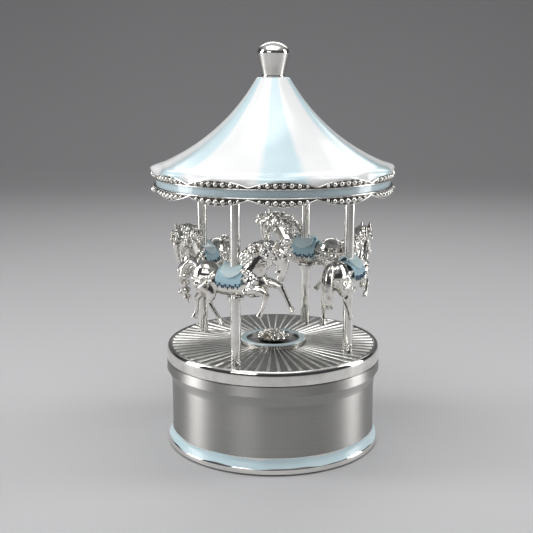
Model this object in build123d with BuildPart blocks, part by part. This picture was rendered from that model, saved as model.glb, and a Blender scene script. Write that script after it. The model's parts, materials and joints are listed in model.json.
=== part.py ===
from build123d import *
import os
from math import atan2, cos, pi, radians, sin, sqrt, tan

# Wind-up carousel music box: a brushed drum with a musical movement inside, and on it a turntable with
# four poles, four horses and a tent canopy. Millimetres, +Z up. The origin is on the turning axis, at
# the face that the box stands on. The front is -Y.

os.makedirs("parts", exist_ok=True)

# --- clearances -------------------------------------------------------------------------------------
fit_gap = 0.1  # between pieces that are slipped together and do not move
run_gap = 0.2  # between pieces that turn past each other
shaft_gap = 0.05  # radial, of a shaft in its bearing
thread_gap = 0.05  # radial, of a screw in its tapped hole

# --- base -------------------------------------------------------------------------------------------
drum_radius = 45.8
drum_thickness = 1.2
foot_flare = 1.9  # how far the foot stands out past the drum
foot_lift = 0.6  # the foot ring hangs this far above the table, on the felt
foot_hem = 2.4  # height of the polished hem
foot_cove = 4.4  # height of the hollow curve above the hem
foot_shelf = 4.0  # height of the shelf that the drum stands on
foot_land = 2.1  # width of that shelf
collar_flare = 2.1
collar_bottom = 28.4
collar_cove = 6.2  # height of the curve from the drum out to the bead
collar_overlap = 4.9  # of the collar over the drum's top
base_top = 38.9
collar_sag = 0.45
collar_round = 0.4
top_plate_sink = 0.9  # of the top plate below the collar's edge
collar_lip = 2.4  # from the drum's outside to the opening that the top plate fits
collar_screw_count = 4
collar_screw_angle = 45.0
collar_shelf = 5.8  # how far the shelf for the top plate reaches in from the drum's outside
plate_thickness = 1.2
felt_thickness = 0.8
felt_width = 7.0
felt_inset = 5.7  # from the opening in the foot ring to the felt
lug_count = 3
lug_angle = 60.0  # the first lug, which keeps all of them clear of the movement's posts
lug_length = 4.9
lug_width = 7.0
hem_round = 0.5
foot_sag = 0.5  # of the foot's hollow curve
cup_radius = 16.0  # recess that holds the winding key
cup_height = 12.4
post_radius = 2.6  # posts that carry the movement's bedplate
screw_radius = 0.8
screw_head_radius = 1.6
screw_head_height = 0.9
flat_head_height = 0.6  # of the countersunk screws
flat_head_radius = 1.48
flat_head_screw_length = 2.3
pan_head_radius = 2.0
tapped_depth = 6.0

# --- turntable --------------------------------------------------------------------------------------
turntable_height = 6.0  # from the collar's top to the deck
deck_thickness = 1.6
rim_thickness = 2.3
rim_round = 1.3
rib_count = 60
rib_width = 1.3
rib_height = 0.4
rib_inner = 16.0
rib_margin = 2.9  # from the ribs to the turntable's edge
rib_taper = 3.0  # a rib is this many times wider at the rim than at the dish
hub_radius = 5.0
glide_margin = 1.2  # between the glide ring and the bosses that hold the poles
glide_width = 3.0
dish_radius = 14.7
dish_height = 2.2
dish_band = 2.9
dish_floor = 0.8
flower_radius = 7.2
flower_height = 4.0
petal_count = 6
petal_round = 0.6
petal_place = 0.55  # of a petal's middle, its length and its width, as shares of the flower's radius
petal_length = 0.9
petal_width = 0.64
flower_core = 0.5  # radius of the flower's core and of its seed head, as shares of its own
flower_seed = 0.3
dish_round = 0.5
hub_screw_length = 4.6
flat_share = 0.7  # width of the output shaft's flats, as a share of its diameter

# --- carousel ---------------------------------------------------------------------------------------
pole_count = 4
pole_radius = 2.2
pole_ring_radius = 36.2
first_pole_angle = -25.9  # from the front, towards +X
pole_height = 72.0  # from the deck to the canopy's ceiling
pole_boss_wall = 1.8
pole_boss_floor = 1.4
pole_screw_length = 6.0
belly_rise = 28.7  # of the horses' bellies above the deck
body_height = 11.6
body_width = 9.4
rump_back = 13.4  # from the pole to the middle of the rump
chest_front = 9.0  # and to the middle of the chest
rump_rise = 2.8  # of the rump above the back
rump_radius = 6.4
chest_radius = 5.8
chest_lift = 0.8
crest_rise = 25.0  # of the top of the mane above the belly
hoof_drop = 12.6  # of the hooves below the belly
neck_width = 5.6
tail_width = 4.0
leg_spread = 2.8
leg_width = 2.4
horse_collar_height = 1.6
horse_collar_width = 1.3
saddle_length = 10.0
saddle_thickness = 0.9
saddle_drop = 3.0  # how far the blanket hangs below the middle of the body
trim_depth = 1.2  # how far the beaded trim stands out past the valance
trim_rise = 1.6
nut_height = 2.4
nut_radius = 3.2
rod_grip = 8.0  # length of the rod inside the finial
roof_rim_bulge = 0.8
ceiling_sink = 0.3  # the valance's cusps hang this far below the ceiling
valance_radius = 51.8
valance_thickness = 1.2
valance_height = 4.4
scallop_drop = 2.7
lobe_count = 12
roof_height = 41.7
roof_top_radius = 7.3
roof_sag = 4.5  # how far the tent curve hangs below a straight cone
roof_shoulder_in = 4.0  # the rolled rim starts this far inside the widest radius
roof_shoulder_up = 5.0  # and this far above the valance
roof_thickness = 1.2
rod_radius = 1.5
finial_foot_radius = 4.9
finial_foot_lip = 0.3
finial_radius = 7.1
finial_cone = 10.2
finial_dome = 4.8
finial_collar = 0.8

# --- musical movement -------------------------------------------------------------------------------
bed_thickness = 2.0
bed_back = 12.5  # the bedplate's edge behind the barrel
bed_side_comb = 21.0
bed_side_governor = 24.6
bed_margin = 2.6  # between the bedplate's rounded end and the drum's outside
bed_corner = 3.0
bed_slot_width = 14.0  # of the slot that the cylinder's gear dips into
bed_screw_length = 7.0
bed_screw_head = 1.2
screw_slot = 0.5
barrel_radius = 11.0
barrel_thickness = 0.8
barrel_height = 12.0
cap_thickness = 1.0
barrel_lift = 3.0  # the barrel's flange stands this far above the bedplate
flange_thickness = 1.2
crown_teeth = 48
crown_tooth_share = 0.8  # width of a crown tooth, as a share of half its pitch
pinion_teeth = 12
crown_gap = 0.6  # from the barrel's wall to the crown teeth
crown_width = 2.4
pressure_angle = 20.0
dedendum = 1.25  # heights of gear teeth, in modules
addendum = 0.95
crown_addendum = 0.9
tooth_thinning = 0.86
train_module = 0.4
gear_teeth = 44
governor_teeth = 14
gear_width = 1.2
gear_clearance = 0.6  # beside each gear
worm_module = 0.35
worm_wheel_teeth = 20
worm_starts = 2
worm_core = 1.05
worm_crest = 1.4
worm_ring_start = 0.3  # where a ring of the worm starts and how thick it is, as shares of its pitch
worm_ring_share = 0.45
cylinder_radius = 6.6
cylinder_gap = 1.2  # between the cylinder and its ear
cylinder_length = 18.4
pin_radius = 0.2
pin_height = 0.55
track_count = 18
pins_per_track = 3
pin_step = 47.0  # turn of the pins from one track to the next
ear_width = 6.0
arbor_radius = 0.8
pivot_radius = 0.6
bridge_height = 34.4
ear_thickness = 1.2
arbor_stub = 0.3  # length of an arbor past its bearing
comb_thickness = 2.0
comb_tooth_thickness = 0.6
comb_root = 14.0
comb_back = 20.0
comb_screw_depth = 5.0
tooth_share = 0.75  # width of a comb tooth, as a share of its track
winding_radius = 1.6
shaft_collar_radius = 2.8
click_coil_radius = 2.5
click_wire = 0.6
click_height = 1.5
click_post_distance = 7.0
click_post_radius = 0.9
spring_core_radius = 2.4
spring_strip = 0.35
spring_turns = 5
output_radius = 3.0
fly_radius = 4.2
fly_height = 5.6
fly_hub_radius = 1.4
fly_thickness = 0.5
fly_x = 27.0
bracket_arm = 3.0  # the governor's bracket reaches this far past the fly's axis
key_wing = 12.6
key_wing_height = 8.0
key_thickness = 2.2
key_hub_radius = 3.0
key_clearance = 1.0  # of the key above the table
key_hub_rise = 1.5
key_waist = 0.8  # between the two wings
key_hole_radius = 1.5
key_hole_place = 8.7


def save(piece, name):
    """Writes one finished piece to its own STEP file."""
    piece.label = name
    export_step(piece, f"parts/{name}.step")


def involute(angle, base):
    """Point of the involute of a base circle, unrolled by an angle in radians."""
    return (base * (cos(angle) + angle * sin(angle)), base * (sin(angle) - angle * cos(angle)))


def tooth_outline(teeth, module):
    """Corners of one involute tooth that points along +X, thinned to leave backlash."""
    pitch = module * teeth / 2
    base = pitch * cos(radians(pressure_angle))
    root = pitch - dedendum * module
    tip = pitch + addendum * module
    start = sqrt(max((root / base) ** 2 - 1, 0))
    end = sqrt((tip / base) ** 2 - 1)
    at_pitch = sqrt((pitch / base) ** 2 - 1)
    px, py = involute(at_pitch, base)
    half = tooth_thinning * pi / (2 * teeth) + atan2(py, px)
    flank = [involute(start + (end - start) * k / 4, base) for k in range(5)]
    low = [(x * cos(half) + y * sin(half), x * sin(half) - y * cos(half)) for x, y in flank]
    inner = (0.9 * root * cos(half), 0.9 * root * sin(half))
    side = [inner] + low
    return side + [(x, -y) for x, y in reversed(side)]


def gear_sketch(teeth, module, first_angle):
    """Adds a spur gear's face to the sketch that is open, with one tooth at first_angle."""
    Circle(module * (teeth / 2 - dedendum))
    with PolarLocations(0, teeth, start_angle=first_angle):
        Polygon(*tooth_outline(teeth, module), align=None)


def flat_head_screw(length, head_up=True):
    """Adds a countersunk screw to the part that is open, its head just under the surface at z = 0."""
    down = -1 if head_up else 1
    shank_side = Align.MAX if head_up else Align.MIN
    with Locations((0, 0, down * (fit_gap + flat_head_height / 2))):
        Cone(screw_radius, flat_head_radius, flat_head_height, rotation=(0 if head_up else 180, 0, 0))
    with Locations((0, 0, down * (fit_gap + flat_head_height))):
        Cylinder(screw_radius, length, align=(Align.CENTER, Align.CENTER, shank_side))


# --- sizes and levels that follow from the ones above -----------------------------------------------
foot_radius = drum_radius + foot_flare
collar_radius = drum_radius + collar_flare
turntable_radius = collar_radius
rib_outer = turntable_radius - rib_margin
pole_boss_radius = pole_radius + pole_boss_wall
glide_radius = pole_ring_radius - pole_boss_radius - glide_margin
plate_bottom = felt_thickness
plate_top = plate_bottom + plate_thickness
shelf_radius = drum_radius - foot_land
felt_radius = shelf_radius - felt_inset
cup_top = plate_bottom + cup_height
bed_top = cup_top + bed_thickness
flange_bottom = bed_top + barrel_lift
flange_top = flange_bottom + flange_thickness
barrel_top = flange_top + barrel_height
cap_top = barrel_top + cap_thickness
crown_inner = barrel_radius + crown_gap
crown_outer = crown_inner + crown_width
crown_pitch_radius = (crown_inner + crown_outer) / 2
crown_module = 2 * crown_pitch_radius / crown_teeth
pinion_radius = crown_module * pinion_teeth / 2
axis_height = flange_top + dedendum * crown_module + pinion_radius
train_distance = train_module * (gear_teeth + governor_teeth) / 2
worm_wheel_radius = worm_module * worm_wheel_teeth / 2
worm_side = train_distance + worm_wheel_radius + worm_module + run_gap + worm_crest
drum_top = collar_bottom + collar_overlap
top_plate_bottom = base_top - top_plate_sink - plate_thickness
top_plate_top = top_plate_bottom + plate_thickness
collar_inner = drum_radius - collar_lip
turntable_bottom = base_top + run_gap
deck_top = base_top + turntable_height
deck_bottom = deck_top - deck_thickness
belly_height = deck_top + belly_rise
body_middle = belly_height + body_height / 2
ceiling_height = deck_top + pole_height
ceiling_top = ceiling_height + plate_thickness
valance_cusp = ceiling_height - ceiling_sink
valance_top = valance_cusp + valance_height
valance_inner = valance_radius - valance_thickness
trim_radius = valance_radius + trim_depth
roof_top = valance_top + roof_height

# ====================================================================================================
# Base casing
# ====================================================================================================
lug_screw_radius = shelf_radius - lug_length / 2

with BuildPart() as foot_ring:
    with BuildSketch(Plane.XZ) as foot_section:
        with BuildLine():
            hem_top = foot_lift + foot_hem
            outline = Polyline(
                (drum_radius + fit_gap, hem_top + foot_cove),
                (drum_radius + fit_gap, foot_shelf),
                (shelf_radius, foot_shelf),
                (shelf_radius, foot_lift),
                (foot_radius, foot_lift),
                (foot_radius, hem_top),
            )
            SagittaArc(outline @ 1, outline @ 0, foot_sag)
        make_face()
    revolve(axis=Axis.Z)
    with BuildSketch(Plane.XY.offset(plate_top)) as lugs:
        with PolarLocations(shelf_radius - lug_length / 2 + foot_sag / 2, lug_count, start_angle=lug_angle):
            Rectangle(lug_length + foot_sag, lug_width)
    extrude(amount=foot_shelf - plate_top)
    with Locations(Plane.XY.offset(foot_shelf)):
        with PolarLocations(lug_screw_radius, lug_count, start_angle=lug_angle):
            Hole(screw_radius + thread_gap)
    hem_edge = foot_ring.edges().filter_by(GeomType.CIRCLE).group_by(Axis.Z)[0].sort_by(SortBy.RADIUS)[-1]
    fillet(hem_edge, hem_round)
save(foot_ring.part, "foot_ring")

with BuildPart() as drum_wall:
    with BuildSketch(Plane.XY.offset(foot_shelf)):
        Circle(drum_radius)
        Circle(drum_radius - drum_thickness, mode=Mode.SUBTRACT)
    extrude(amount=drum_top - foot_shelf)
save(drum_wall.part, "drum_wall")

with BuildPart() as collar_ring:
    with BuildSketch(Plane.XZ):
        with BuildLine():
            bead_bottom = collar_bottom + collar_cove
            inner_line = Polyline(
                (collar_radius, bead_bottom),
                (collar_radius, base_top),
                (collar_inner, base_top),
                (collar_inner, top_plate_bottom),
                (drum_radius - collar_shelf, top_plate_bottom),
                (drum_radius - collar_shelf, drum_top),
                (drum_radius + fit_gap, drum_top),
                (drum_radius + fit_gap, collar_bottom),
            )
            SagittaArc(inner_line @ 1, inner_line @ 0, -collar_sag)
        make_face()
    revolve(axis=Axis.Z)
    collar_screw_radius = drum_radius - collar_shelf + screw_head_radius - fit_gap
    with Locations(Plane.XY.offset(top_plate_bottom)):
        with PolarLocations(collar_screw_radius, collar_screw_count, start_angle=collar_screw_angle):
            Hole(screw_radius + thread_gap, depth=top_plate_bottom - drum_top)
    top_edge = collar_ring.edges().filter_by(GeomType.CIRCLE).group_by(Axis.Z)[-1].sort_by(SortBy.RADIUS)[-1]
    fillet(top_edge, collar_round)
save(collar_ring.part, "collar_ring")

with BuildPart() as top_plate:
    with BuildSketch(Plane.XY.offset(top_plate_bottom)):
        Circle(collar_inner - fit_gap)
        Circle(output_radius + run_gap, mode=Mode.SUBTRACT)
    extrude(amount=plate_thickness)
    with Locations(Plane.XY.offset(top_plate_top)):
        with PolarLocations(collar_screw_radius, collar_screw_count, start_angle=collar_screw_angle):
            CounterSinkHole(screw_radius + fit_gap, screw_head_radius, counter_sink_angle=90)
save(top_plate.part, "top_plate")

with BuildPart() as top_plate_screws:
    with Locations(Plane.XY.offset(top_plate_top)):
        with PolarLocations(collar_screw_radius, collar_screw_count, start_angle=collar_screw_angle):
            flat_head_screw(flat_head_screw_length)
save(top_plate_screws.part, "top_plate_screws")

with BuildPart() as glide_ring:
    with BuildSketch(Plane.XY.offset(top_plate_top)):
        Circle(glide_radius)
        Circle(glide_radius - glide_width, mode=Mode.SUBTRACT)
    extrude(amount=base_top - top_plate_top)
save(glide_ring.part, "glide_ring")

# ====================================================================================================
# Bottom plate, key and felt
# ====================================================================================================
bed_screw_spots = [(-8.5, -16.0), (-8.5, 16.0), (38.0, -14.0), (35.5, 18.5)]

with BuildPart() as bottom_plate:
    with BuildSketch(Plane.XY.offset(plate_bottom)):
        Circle(shelf_radius - fit_gap)
    extrude(amount=plate_thickness)
    with BuildSketch(Plane.XY.offset(plate_bottom)):
        Circle(cup_radius + plate_thickness)
    extrude(amount=cup_height)
    with BuildSketch(Plane.XY.offset(plate_top)):
        with Locations(*bed_screw_spots):
            Circle(post_radius)
    extrude(amount=cup_top - plate_top)
    with BuildSketch(Plane.XY.offset(plate_bottom)):
        Circle(cup_radius)
    extrude(amount=cup_height - plate_thickness, mode=Mode.SUBTRACT)
    with Locations(Plane.XY.offset(cup_top)):
        Hole(winding_radius + 2 * run_gap)
        with Locations(*bed_screw_spots):
            Hole(screw_radius + thread_gap, depth=tapped_depth)
    with Locations(Plane.XY.offset(plate_bottom).rotated((180, 0, 0))):
        with PolarLocations(lug_screw_radius, lug_count, start_angle=lug_angle):
            CounterSinkHole(screw_radius + fit_gap, screw_head_radius, counter_sink_angle=90)
save(bottom_plate.part, "bottom_plate")

with BuildPart() as bottom_plate_screws:
    with Locations(Plane.XY.offset(plate_bottom)):
        with PolarLocations(lug_screw_radius, lug_count, start_angle=lug_angle):
            flat_head_screw(flat_head_screw_length, head_up=False)
save(bottom_plate_screws.part, "bottom_plate_screws")

with BuildPart() as felt_ring:
    with BuildSketch():
        Circle(felt_radius)
        Circle(felt_radius - felt_width, mode=Mode.SUBTRACT)
    extrude(amount=felt_thickness)
save(felt_ring.part, "felt_ring")

key_bottom = plate_bottom + key_clearance
key_hub_bottom = key_bottom + key_wing_height - key_hub_rise
key_top = cup_top - plate_thickness - 2 * run_gap
with BuildPart() as winding_key:
    with BuildSketch(Plane.XZ.offset(-key_thickness / 2)):
        for side in (-1, 1):
            with Locations((side * (key_wing + key_waist) / 2, key_bottom + key_wing_height / 2)):
                Ellipse(key_wing / 2, key_wing_height / 2)
    extrude(amount=key_thickness)
    with BuildSketch(Plane.XY.offset(key_bottom + key_hub_rise)):
        Circle(key_hub_radius)
    extrude(amount=key_top - key_bottom - key_hub_rise)
    with Locations(Plane.XY.offset(key_top)):
        Hole(winding_radius, depth=key_top - key_hub_bottom)
    for side in (-1, 1):
        with Locations((side * key_hole_place, 0, key_bottom + key_wing_height / 2)):
            Cylinder(key_hole_radius, 2 * key_thickness, rotation=(90, 0, 0), mode=Mode.SUBTRACT)
save(winding_key.part, "winding_key")

with BuildPart() as winding_shaft:
    with BuildSketch(Plane.XY.offset(key_hub_bottom)):
        Circle(winding_radius)
    extrude(amount=barrel_top - fit_gap - key_hub_bottom)
    with BuildSketch(Plane.XY.offset(flange_top + run_gap)):
        Circle(spring_core_radius)
    extrude(amount=barrel_height - 2 * run_gap)
    with BuildSketch(Plane.XY.offset(bed_top + click_height + run_gap)):
        Circle(shaft_collar_radius)
    extrude(amount=barrel_lift - click_height - 2 * run_gap)
save(winding_shaft.part, "winding_shaft")

# ====================================================================================================
# Musical movement
# ====================================================================================================
bed_radius = drum_radius - bed_margin
near_ear = crown_outer + gear_clearance
cylinder_start = near_ear + ear_thickness + cylinder_gap
cylinder_end = cylinder_start + cylinder_length
gear_start = cylinder_end + gear_clearance
far_ear = gear_start + gear_width + gear_clearance
governor_near_ear = fly_x - 2 * bracket_arm
governor_far_ear = gear_start - gear_clearance - ear_thickness

with BuildPart() as bedplate:
    with BuildSketch(Plane.XY.offset(cup_top)):
        Circle(bed_radius)
        with Locations(((bed_radius - bed_back) / 2, (bed_side_governor - bed_side_comb) / 2)):
            RectangleRounded(
                bed_radius + bed_back, bed_side_comb + bed_side_governor, bed_corner, mode=Mode.INTERSECT
            )
        with Locations((gear_start + gear_width / 2, 0)):
            Rectangle(gear_width + gear_clearance, bed_slot_width, mode=Mode.SUBTRACT)
        Circle(winding_radius + shaft_gap, mode=Mode.SUBTRACT)
    extrude(amount=bed_thickness)
    with BuildSketch(Plane.XY.offset(bed_top)):
        with Locations((click_post_distance, 0)):
            Circle(click_post_radius)
    extrude(amount=click_height)
    with Locations(Plane.XY.offset(bed_top)):
        with Locations(*bed_screw_spots):
            Hole(screw_radius + fit_gap)
save(bedplate.part, "bedplate")

# A spring wrapped round the winding shaft, which grips it when it tries to run back
with BuildPart() as click_spring:
    with BuildSketch(Plane.XY.offset(bed_top + fit_gap)):
        Circle(click_coil_radius)
        with Locations((0, click_coil_radius - click_wire / 2)):
            tail_length = click_post_distance
            Rectangle(tail_length, click_wire, align=(Align.MIN, Align.CENTER))
        Circle(winding_radius + shaft_gap, mode=Mode.SUBTRACT)
    extrude(amount=click_height - 2 * fit_gap)
save(click_spring.part, "click_spring")

with BuildPart() as bedplate_screws:
    with Locations(Plane.XY.offset(bed_top)):
        with Locations(*bed_screw_spots):
            Cylinder(pan_head_radius, bed_screw_head, align=(Align.CENTER, Align.CENTER, Align.MIN))
            Cylinder(screw_radius, bed_screw_length, align=(Align.CENTER, Align.CENTER, Align.MAX))
            with Locations((0, 0, bed_screw_head)):
                Box(2 * pan_head_radius, screw_slot, screw_slot, mode=Mode.SUBTRACT)
save(bedplate_screws.part, "bedplate_screws")

with BuildPart() as spring_barrel:
    with BuildSketch(Plane.XY.offset(flange_bottom)):
        Circle(crown_outer)
    extrude(amount=flange_thickness)
    with BuildSketch(Plane.XY.offset(flange_top)):
        Circle(barrel_radius)
        Circle(barrel_radius - barrel_thickness, mode=Mode.SUBTRACT)
    extrude(amount=barrel_height)
    with BuildSketch(Plane.YZ.offset(crown_inner)):
        pitch_half = crown_tooth_share * pi * crown_module / 4
        slope = tan(radians(pressure_angle))
        low_half = pitch_half + dedendum * crown_module * slope
        high_half = pitch_half - crown_addendum * crown_module * slope
        tooth_tip = flange_top + (dedendum + crown_addendum) * crown_module
        crown_foot = flange_top - fit_gap  # the tooth starts inside the flange, so that they join
        Polygon(
            (-low_half, crown_foot),
            (low_half, crown_foot),
            (high_half, tooth_tip),
            (-high_half, tooth_tip),
            align=None,
        )
    crown_tooth = extrude(amount=crown_outer - crown_inner, mode=Mode.PRIVATE)
    with PolarLocations(0, crown_teeth):
        add(crown_tooth)
    with Locations(Plane.XY.offset(flange_top)):
        Hole(winding_radius + shaft_gap, depth=flange_thickness)
save(spring_barrel.part, "spring_barrel")

with BuildPart() as barrel_cap:
    with BuildSketch(Plane.XY.offset(barrel_top)):
        Circle(barrel_radius)
    extrude(amount=cap_top - barrel_top)
save(barrel_cap.part, "barrel_cap")

with BuildPart() as mainspring:
    with BuildSketch(Plane.XY.offset(flange_top + 2 * run_gap)):
        with BuildLine(mode=Mode.PRIVATE) as strip:
            inner = spring_core_radius + 2 * run_gap + spring_strip
            outer = barrel_radius - barrel_thickness - run_gap - spring_strip
            step = (outer - inner) / (2 * spring_turns)
            left = -inner
            for half_turn in range(2 * spring_turns):
                sign = 1 if half_turn % 2 == 0 else -1
                span = 2 * inner + (half_turn + 0.5) * step
                right = left + sign * span
                ThreePointArc((left, 0), ((left + right) / 2, sign * span / 2), (right, 0))
                left = right
        trace(strip.line, line_width=spring_strip)
    extrude(amount=barrel_height - 4 * run_gap)
save(mainspring.part, "mainspring")

shaft_top = deck_bottom - fit_gap
with BuildPart() as output_shaft:
    with BuildSketch(Plane.XY.offset(cap_top)):
        Circle(output_radius)
    extrude(amount=turntable_bottom - cap_top)
    with BuildSketch(Plane.XY.offset(turntable_bottom)):
        Circle(output_radius)
        Rectangle(2 * output_radius, 2 * flat_share * output_radius, mode=Mode.INTERSECT)
    extrude(amount=shaft_top - turntable_bottom)
    with Locations(Plane.XY.offset(shaft_top)):
        Hole(screw_radius + thread_gap, depth=tapped_depth)
save(output_shaft.part, "output_shaft")

with BuildPart() as cylinder_arbor:
    with BuildSketch(Plane.YZ.offset(crown_inner)):
        with Locations((0, axis_height)):
            Circle(arbor_radius)
    extrude(amount=far_ear + ear_thickness + arbor_stub - crown_inner)
save(cylinder_arbor.part, "cylinder_arbor")

with BuildPart() as cylinder_pinion:
    with BuildSketch(Plane.YZ.offset(crown_inner + run_gap)):
        with Locations((0, axis_height)):
            gear_sketch(pinion_teeth, crown_module, 90 + 180 / pinion_teeth)
            Circle(arbor_radius, mode=Mode.SUBTRACT)
    extrude(amount=crown_outer - crown_inner - 2 * run_gap)
save(cylinder_pinion.part, "cylinder_pinion")

with BuildPart() as pinned_cylinder:
    with BuildSketch(Plane.YZ.offset(cylinder_start)):
        with Locations((0, axis_height)):
            Circle(cylinder_radius)
            Circle(arbor_radius, mode=Mode.SUBTRACT)
    extrude(amount=cylinder_length)
    track_pitch = cylinder_length / (track_count + 1)
    for track in range(track_count):
        track_x = cylinder_start + (track + 1) * track_pitch
        with Locations(Plane(origin=(track_x, 0, axis_height), x_dir=(0, 1, 0), z_dir=(1, 0, 0))):
            with PolarLocations(cylinder_radius - pin_height, pins_per_track, start_angle=track * pin_step):
                Cylinder(
                    pin_radius,
                    2 * pin_height,
                    rotation=(0, 90, 0),
                    align=(Align.CENTER, Align.CENTER, Align.MIN),
                )
save(pinned_cylinder.part, "pinned_cylinder")

with BuildPart() as cylinder_gear:
    with BuildSketch(Plane.YZ.offset(gear_start)):
        with Locations((0, axis_height)):
            gear_sketch(gear_teeth, train_module, 0)
            Circle(arbor_radius, mode=Mode.SUBTRACT)
    extrude(amount=gear_width)
save(cylinder_gear.part, "cylinder_gear")

# Two ears stand on the bedplate and carry the cylinder's arbor
with BuildPart() as cylinder_bearing:
    for ear_x in (near_ear, far_ear):
        with BuildSketch(Plane.YZ.offset(ear_x)):
            with Locations((0, bed_top)):
                Rectangle(ear_width, axis_height - bed_top, align=(Align.CENTER, Align.MIN))
            with Locations((0, axis_height)):
                Circle(ear_width / 2)
                Circle(arbor_radius + shaft_gap, mode=Mode.SUBTRACT)
        extrude(amount=ear_thickness)
save(cylinder_bearing.part, "cylinder_bearing")

# The comb stands beside the cylinder on a block, its tips just clear of the pins
comb_width = cylinder_length
comb_tip = cylinder_radius + pin_height + run_gap
comb_middle = cylinder_start + cylinder_length / 2
comb_screw_spots = [(comb_middle + side * comb_width / 3, -(comb_root + comb_back) / 2) for side in (-1, 1)]
block_top = axis_height - comb_tooth_thickness / 2

with BuildPart() as comb_block:
    with BuildSketch(Plane.XY.offset(bed_top)):
        with Locations((comb_middle, -(comb_root + comb_back) / 2)):
            Rectangle(comb_width, comb_back - comb_root)
    extrude(amount=block_top - bed_top)
    with Locations(Plane.XY.offset(block_top)):
        with Locations(*comb_screw_spots):
            Hole(screw_radius + thread_gap, depth=comb_screw_depth)
save(comb_block.part, "comb_block")

with BuildPart() as comb:
    with BuildSketch(Plane.XY.offset(block_top)):
        with Locations((comb_middle, -(comb_root + comb_back) / 2)):
            Rectangle(comb_width, comb_back - comb_root)
    extrude(amount=comb_thickness)
    with BuildSketch(Plane.XY.offset(block_top)):
        for track in range(track_count):
            with Locations((cylinder_start + (track + 1) * track_pitch, -(comb_root + run_gap))):
                Rectangle(
                    tooth_share * track_pitch,
                    comb_root + run_gap - comb_tip,
                    align=(Align.CENTER, Align.MIN),
                )
    extrude(amount=comb_tooth_thickness)
    with Locations(Plane.XY.offset(block_top + comb_thickness)):
        with Locations(*comb_screw_spots):
            Hole(screw_radius + fit_gap)
save(comb.part, "comb")

with BuildPart() as comb_screws:
    with Locations(Plane.XY.offset(block_top + comb_thickness)):
        with Locations(*comb_screw_spots):
            Cylinder(screw_head_radius, screw_head_height, align=(Align.CENTER, Align.CENTER, Align.MIN))
            Cylinder(
                screw_radius,
                comb_thickness + comb_screw_depth - run_gap,
                align=(Align.CENTER, Align.CENTER, Align.MAX),
            )
save(comb_screws.part, "comb_screws")

# Governor: the cylinder's gear drives an arbor whose wheel spins the upright worm shaft and its fly
with BuildPart() as governor_bracket:
    with BuildSketch(Plane.XY.offset(bed_top)):
        base_low = train_distance - ear_width / 2
        with Locations((governor_near_ear, base_low)):
            Rectangle(governor_far_ear + ear_thickness - governor_near_ear, ear_width, align=Align.MIN)
            Rectangle(
                fly_x + bracket_arm - governor_near_ear, worm_side + bracket_arm - base_low, align=Align.MIN
            )
    extrude(amount=ear_thickness)
    with BuildSketch(Plane.YZ.offset(governor_near_ear)):
        with Locations((base_low, bed_top)):
            Rectangle(worm_side + bracket_arm - base_low, bridge_height - bed_top, align=Align.MIN)
        with Locations((train_distance, axis_height)):
            Circle(arbor_radius + shaft_gap, mode=Mode.SUBTRACT)
    extrude(amount=ear_thickness)
    with BuildSketch(Plane.YZ.offset(governor_far_ear)):
        with Locations((train_distance, bed_top)):
            Rectangle(ear_width, axis_height - bed_top, align=(Align.CENTER, Align.MIN))
        with Locations((train_distance, axis_height)):
            Circle(ear_width / 2)
            Circle(arbor_radius + shaft_gap, mode=Mode.SUBTRACT)
    extrude(amount=ear_thickness)
    with BuildSketch(Plane.XY.offset(bridge_height - ear_thickness)):
        with Locations((governor_near_ear, worm_side - bracket_arm)):
            Rectangle(fly_x + bracket_arm - governor_near_ear, 2 * bracket_arm, align=Align.MIN)
    extrude(amount=ear_thickness)
    with Locations((fly_x, worm_side, bridge_height)):
        Hole(pivot_radius + shaft_gap)
save(governor_bracket.part, "governor_bracket")

with BuildPart() as governor_arbor:
    with BuildSketch(Plane.YZ.offset(governor_near_ear - arbor_stub)):
        with Locations((train_distance, axis_height)):
            Circle(arbor_radius)
    extrude(amount=gear_start + gear_width - governor_near_ear + arbor_stub)
save(governor_arbor.part, "governor_arbor")

with BuildPart() as governor_pinion:
    with BuildSketch(Plane.YZ.offset(gear_start)):
        with Locations((train_distance, axis_height)):
            gear_sketch(governor_teeth, train_module, 180 / governor_teeth)
            Circle(arbor_radius, mode=Mode.SUBTRACT)
    extrude(amount=gear_width)
save(governor_pinion.part, "governor_pinion")

with BuildPart() as worm_wheel:
    with BuildSketch(Plane.YZ.offset(fly_x - gear_width / 2)):
        with Locations((train_distance, axis_height)):
            gear_sketch(worm_wheel_teeth, worm_module, 0)
            Circle(arbor_radius, mode=Mode.SUBTRACT)
    extrude(amount=gear_width)
save(worm_wheel.part, "worm_wheel")

worm_pitch = pi * worm_module
worm_lead = worm_pitch * worm_starts
worm_bottom = axis_height - worm_lead
fly_top = bridge_height - ear_thickness - run_gap
with BuildPart() as worm_shaft:
    with BuildSketch(Plane.XY.offset(bed_top)):
        with Locations((fly_x, worm_side)):
            Circle(pivot_radius)
    extrude(amount=bridge_height - bed_top)
    with BuildSketch(Plane.XY.offset(worm_bottom)):
        with Locations((fly_x, worm_side)):
            Circle(worm_core)
    extrude(amount=2 * worm_lead)
    for ring in range(2 * worm_starts):
        with BuildSketch(Plane.XY.offset(worm_bottom + (ring + worm_ring_start) * worm_pitch)):
            with Locations((fly_x, worm_side)):
                Circle(worm_crest)
        extrude(amount=worm_ring_share * worm_pitch)
save(worm_shaft.part, "worm_shaft")

with BuildPart() as fly:
    with BuildSketch(Plane.XY.offset(fly_top - fly_height)):
        with Locations((fly_x, worm_side)):
            Circle(fly_hub_radius)
            Rectangle(2 * fly_radius, fly_thickness)
            Circle(pivot_radius, mode=Mode.SUBTRACT)
    extrude(amount=fly_height)
save(fly.part, "fly")

# ====================================================================================================
# Turntable
# ====================================================================================================
pole_boss_bottom = turntable_bottom + 2 * run_gap
pole_bottom = pole_boss_bottom + pole_boss_floor

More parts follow.
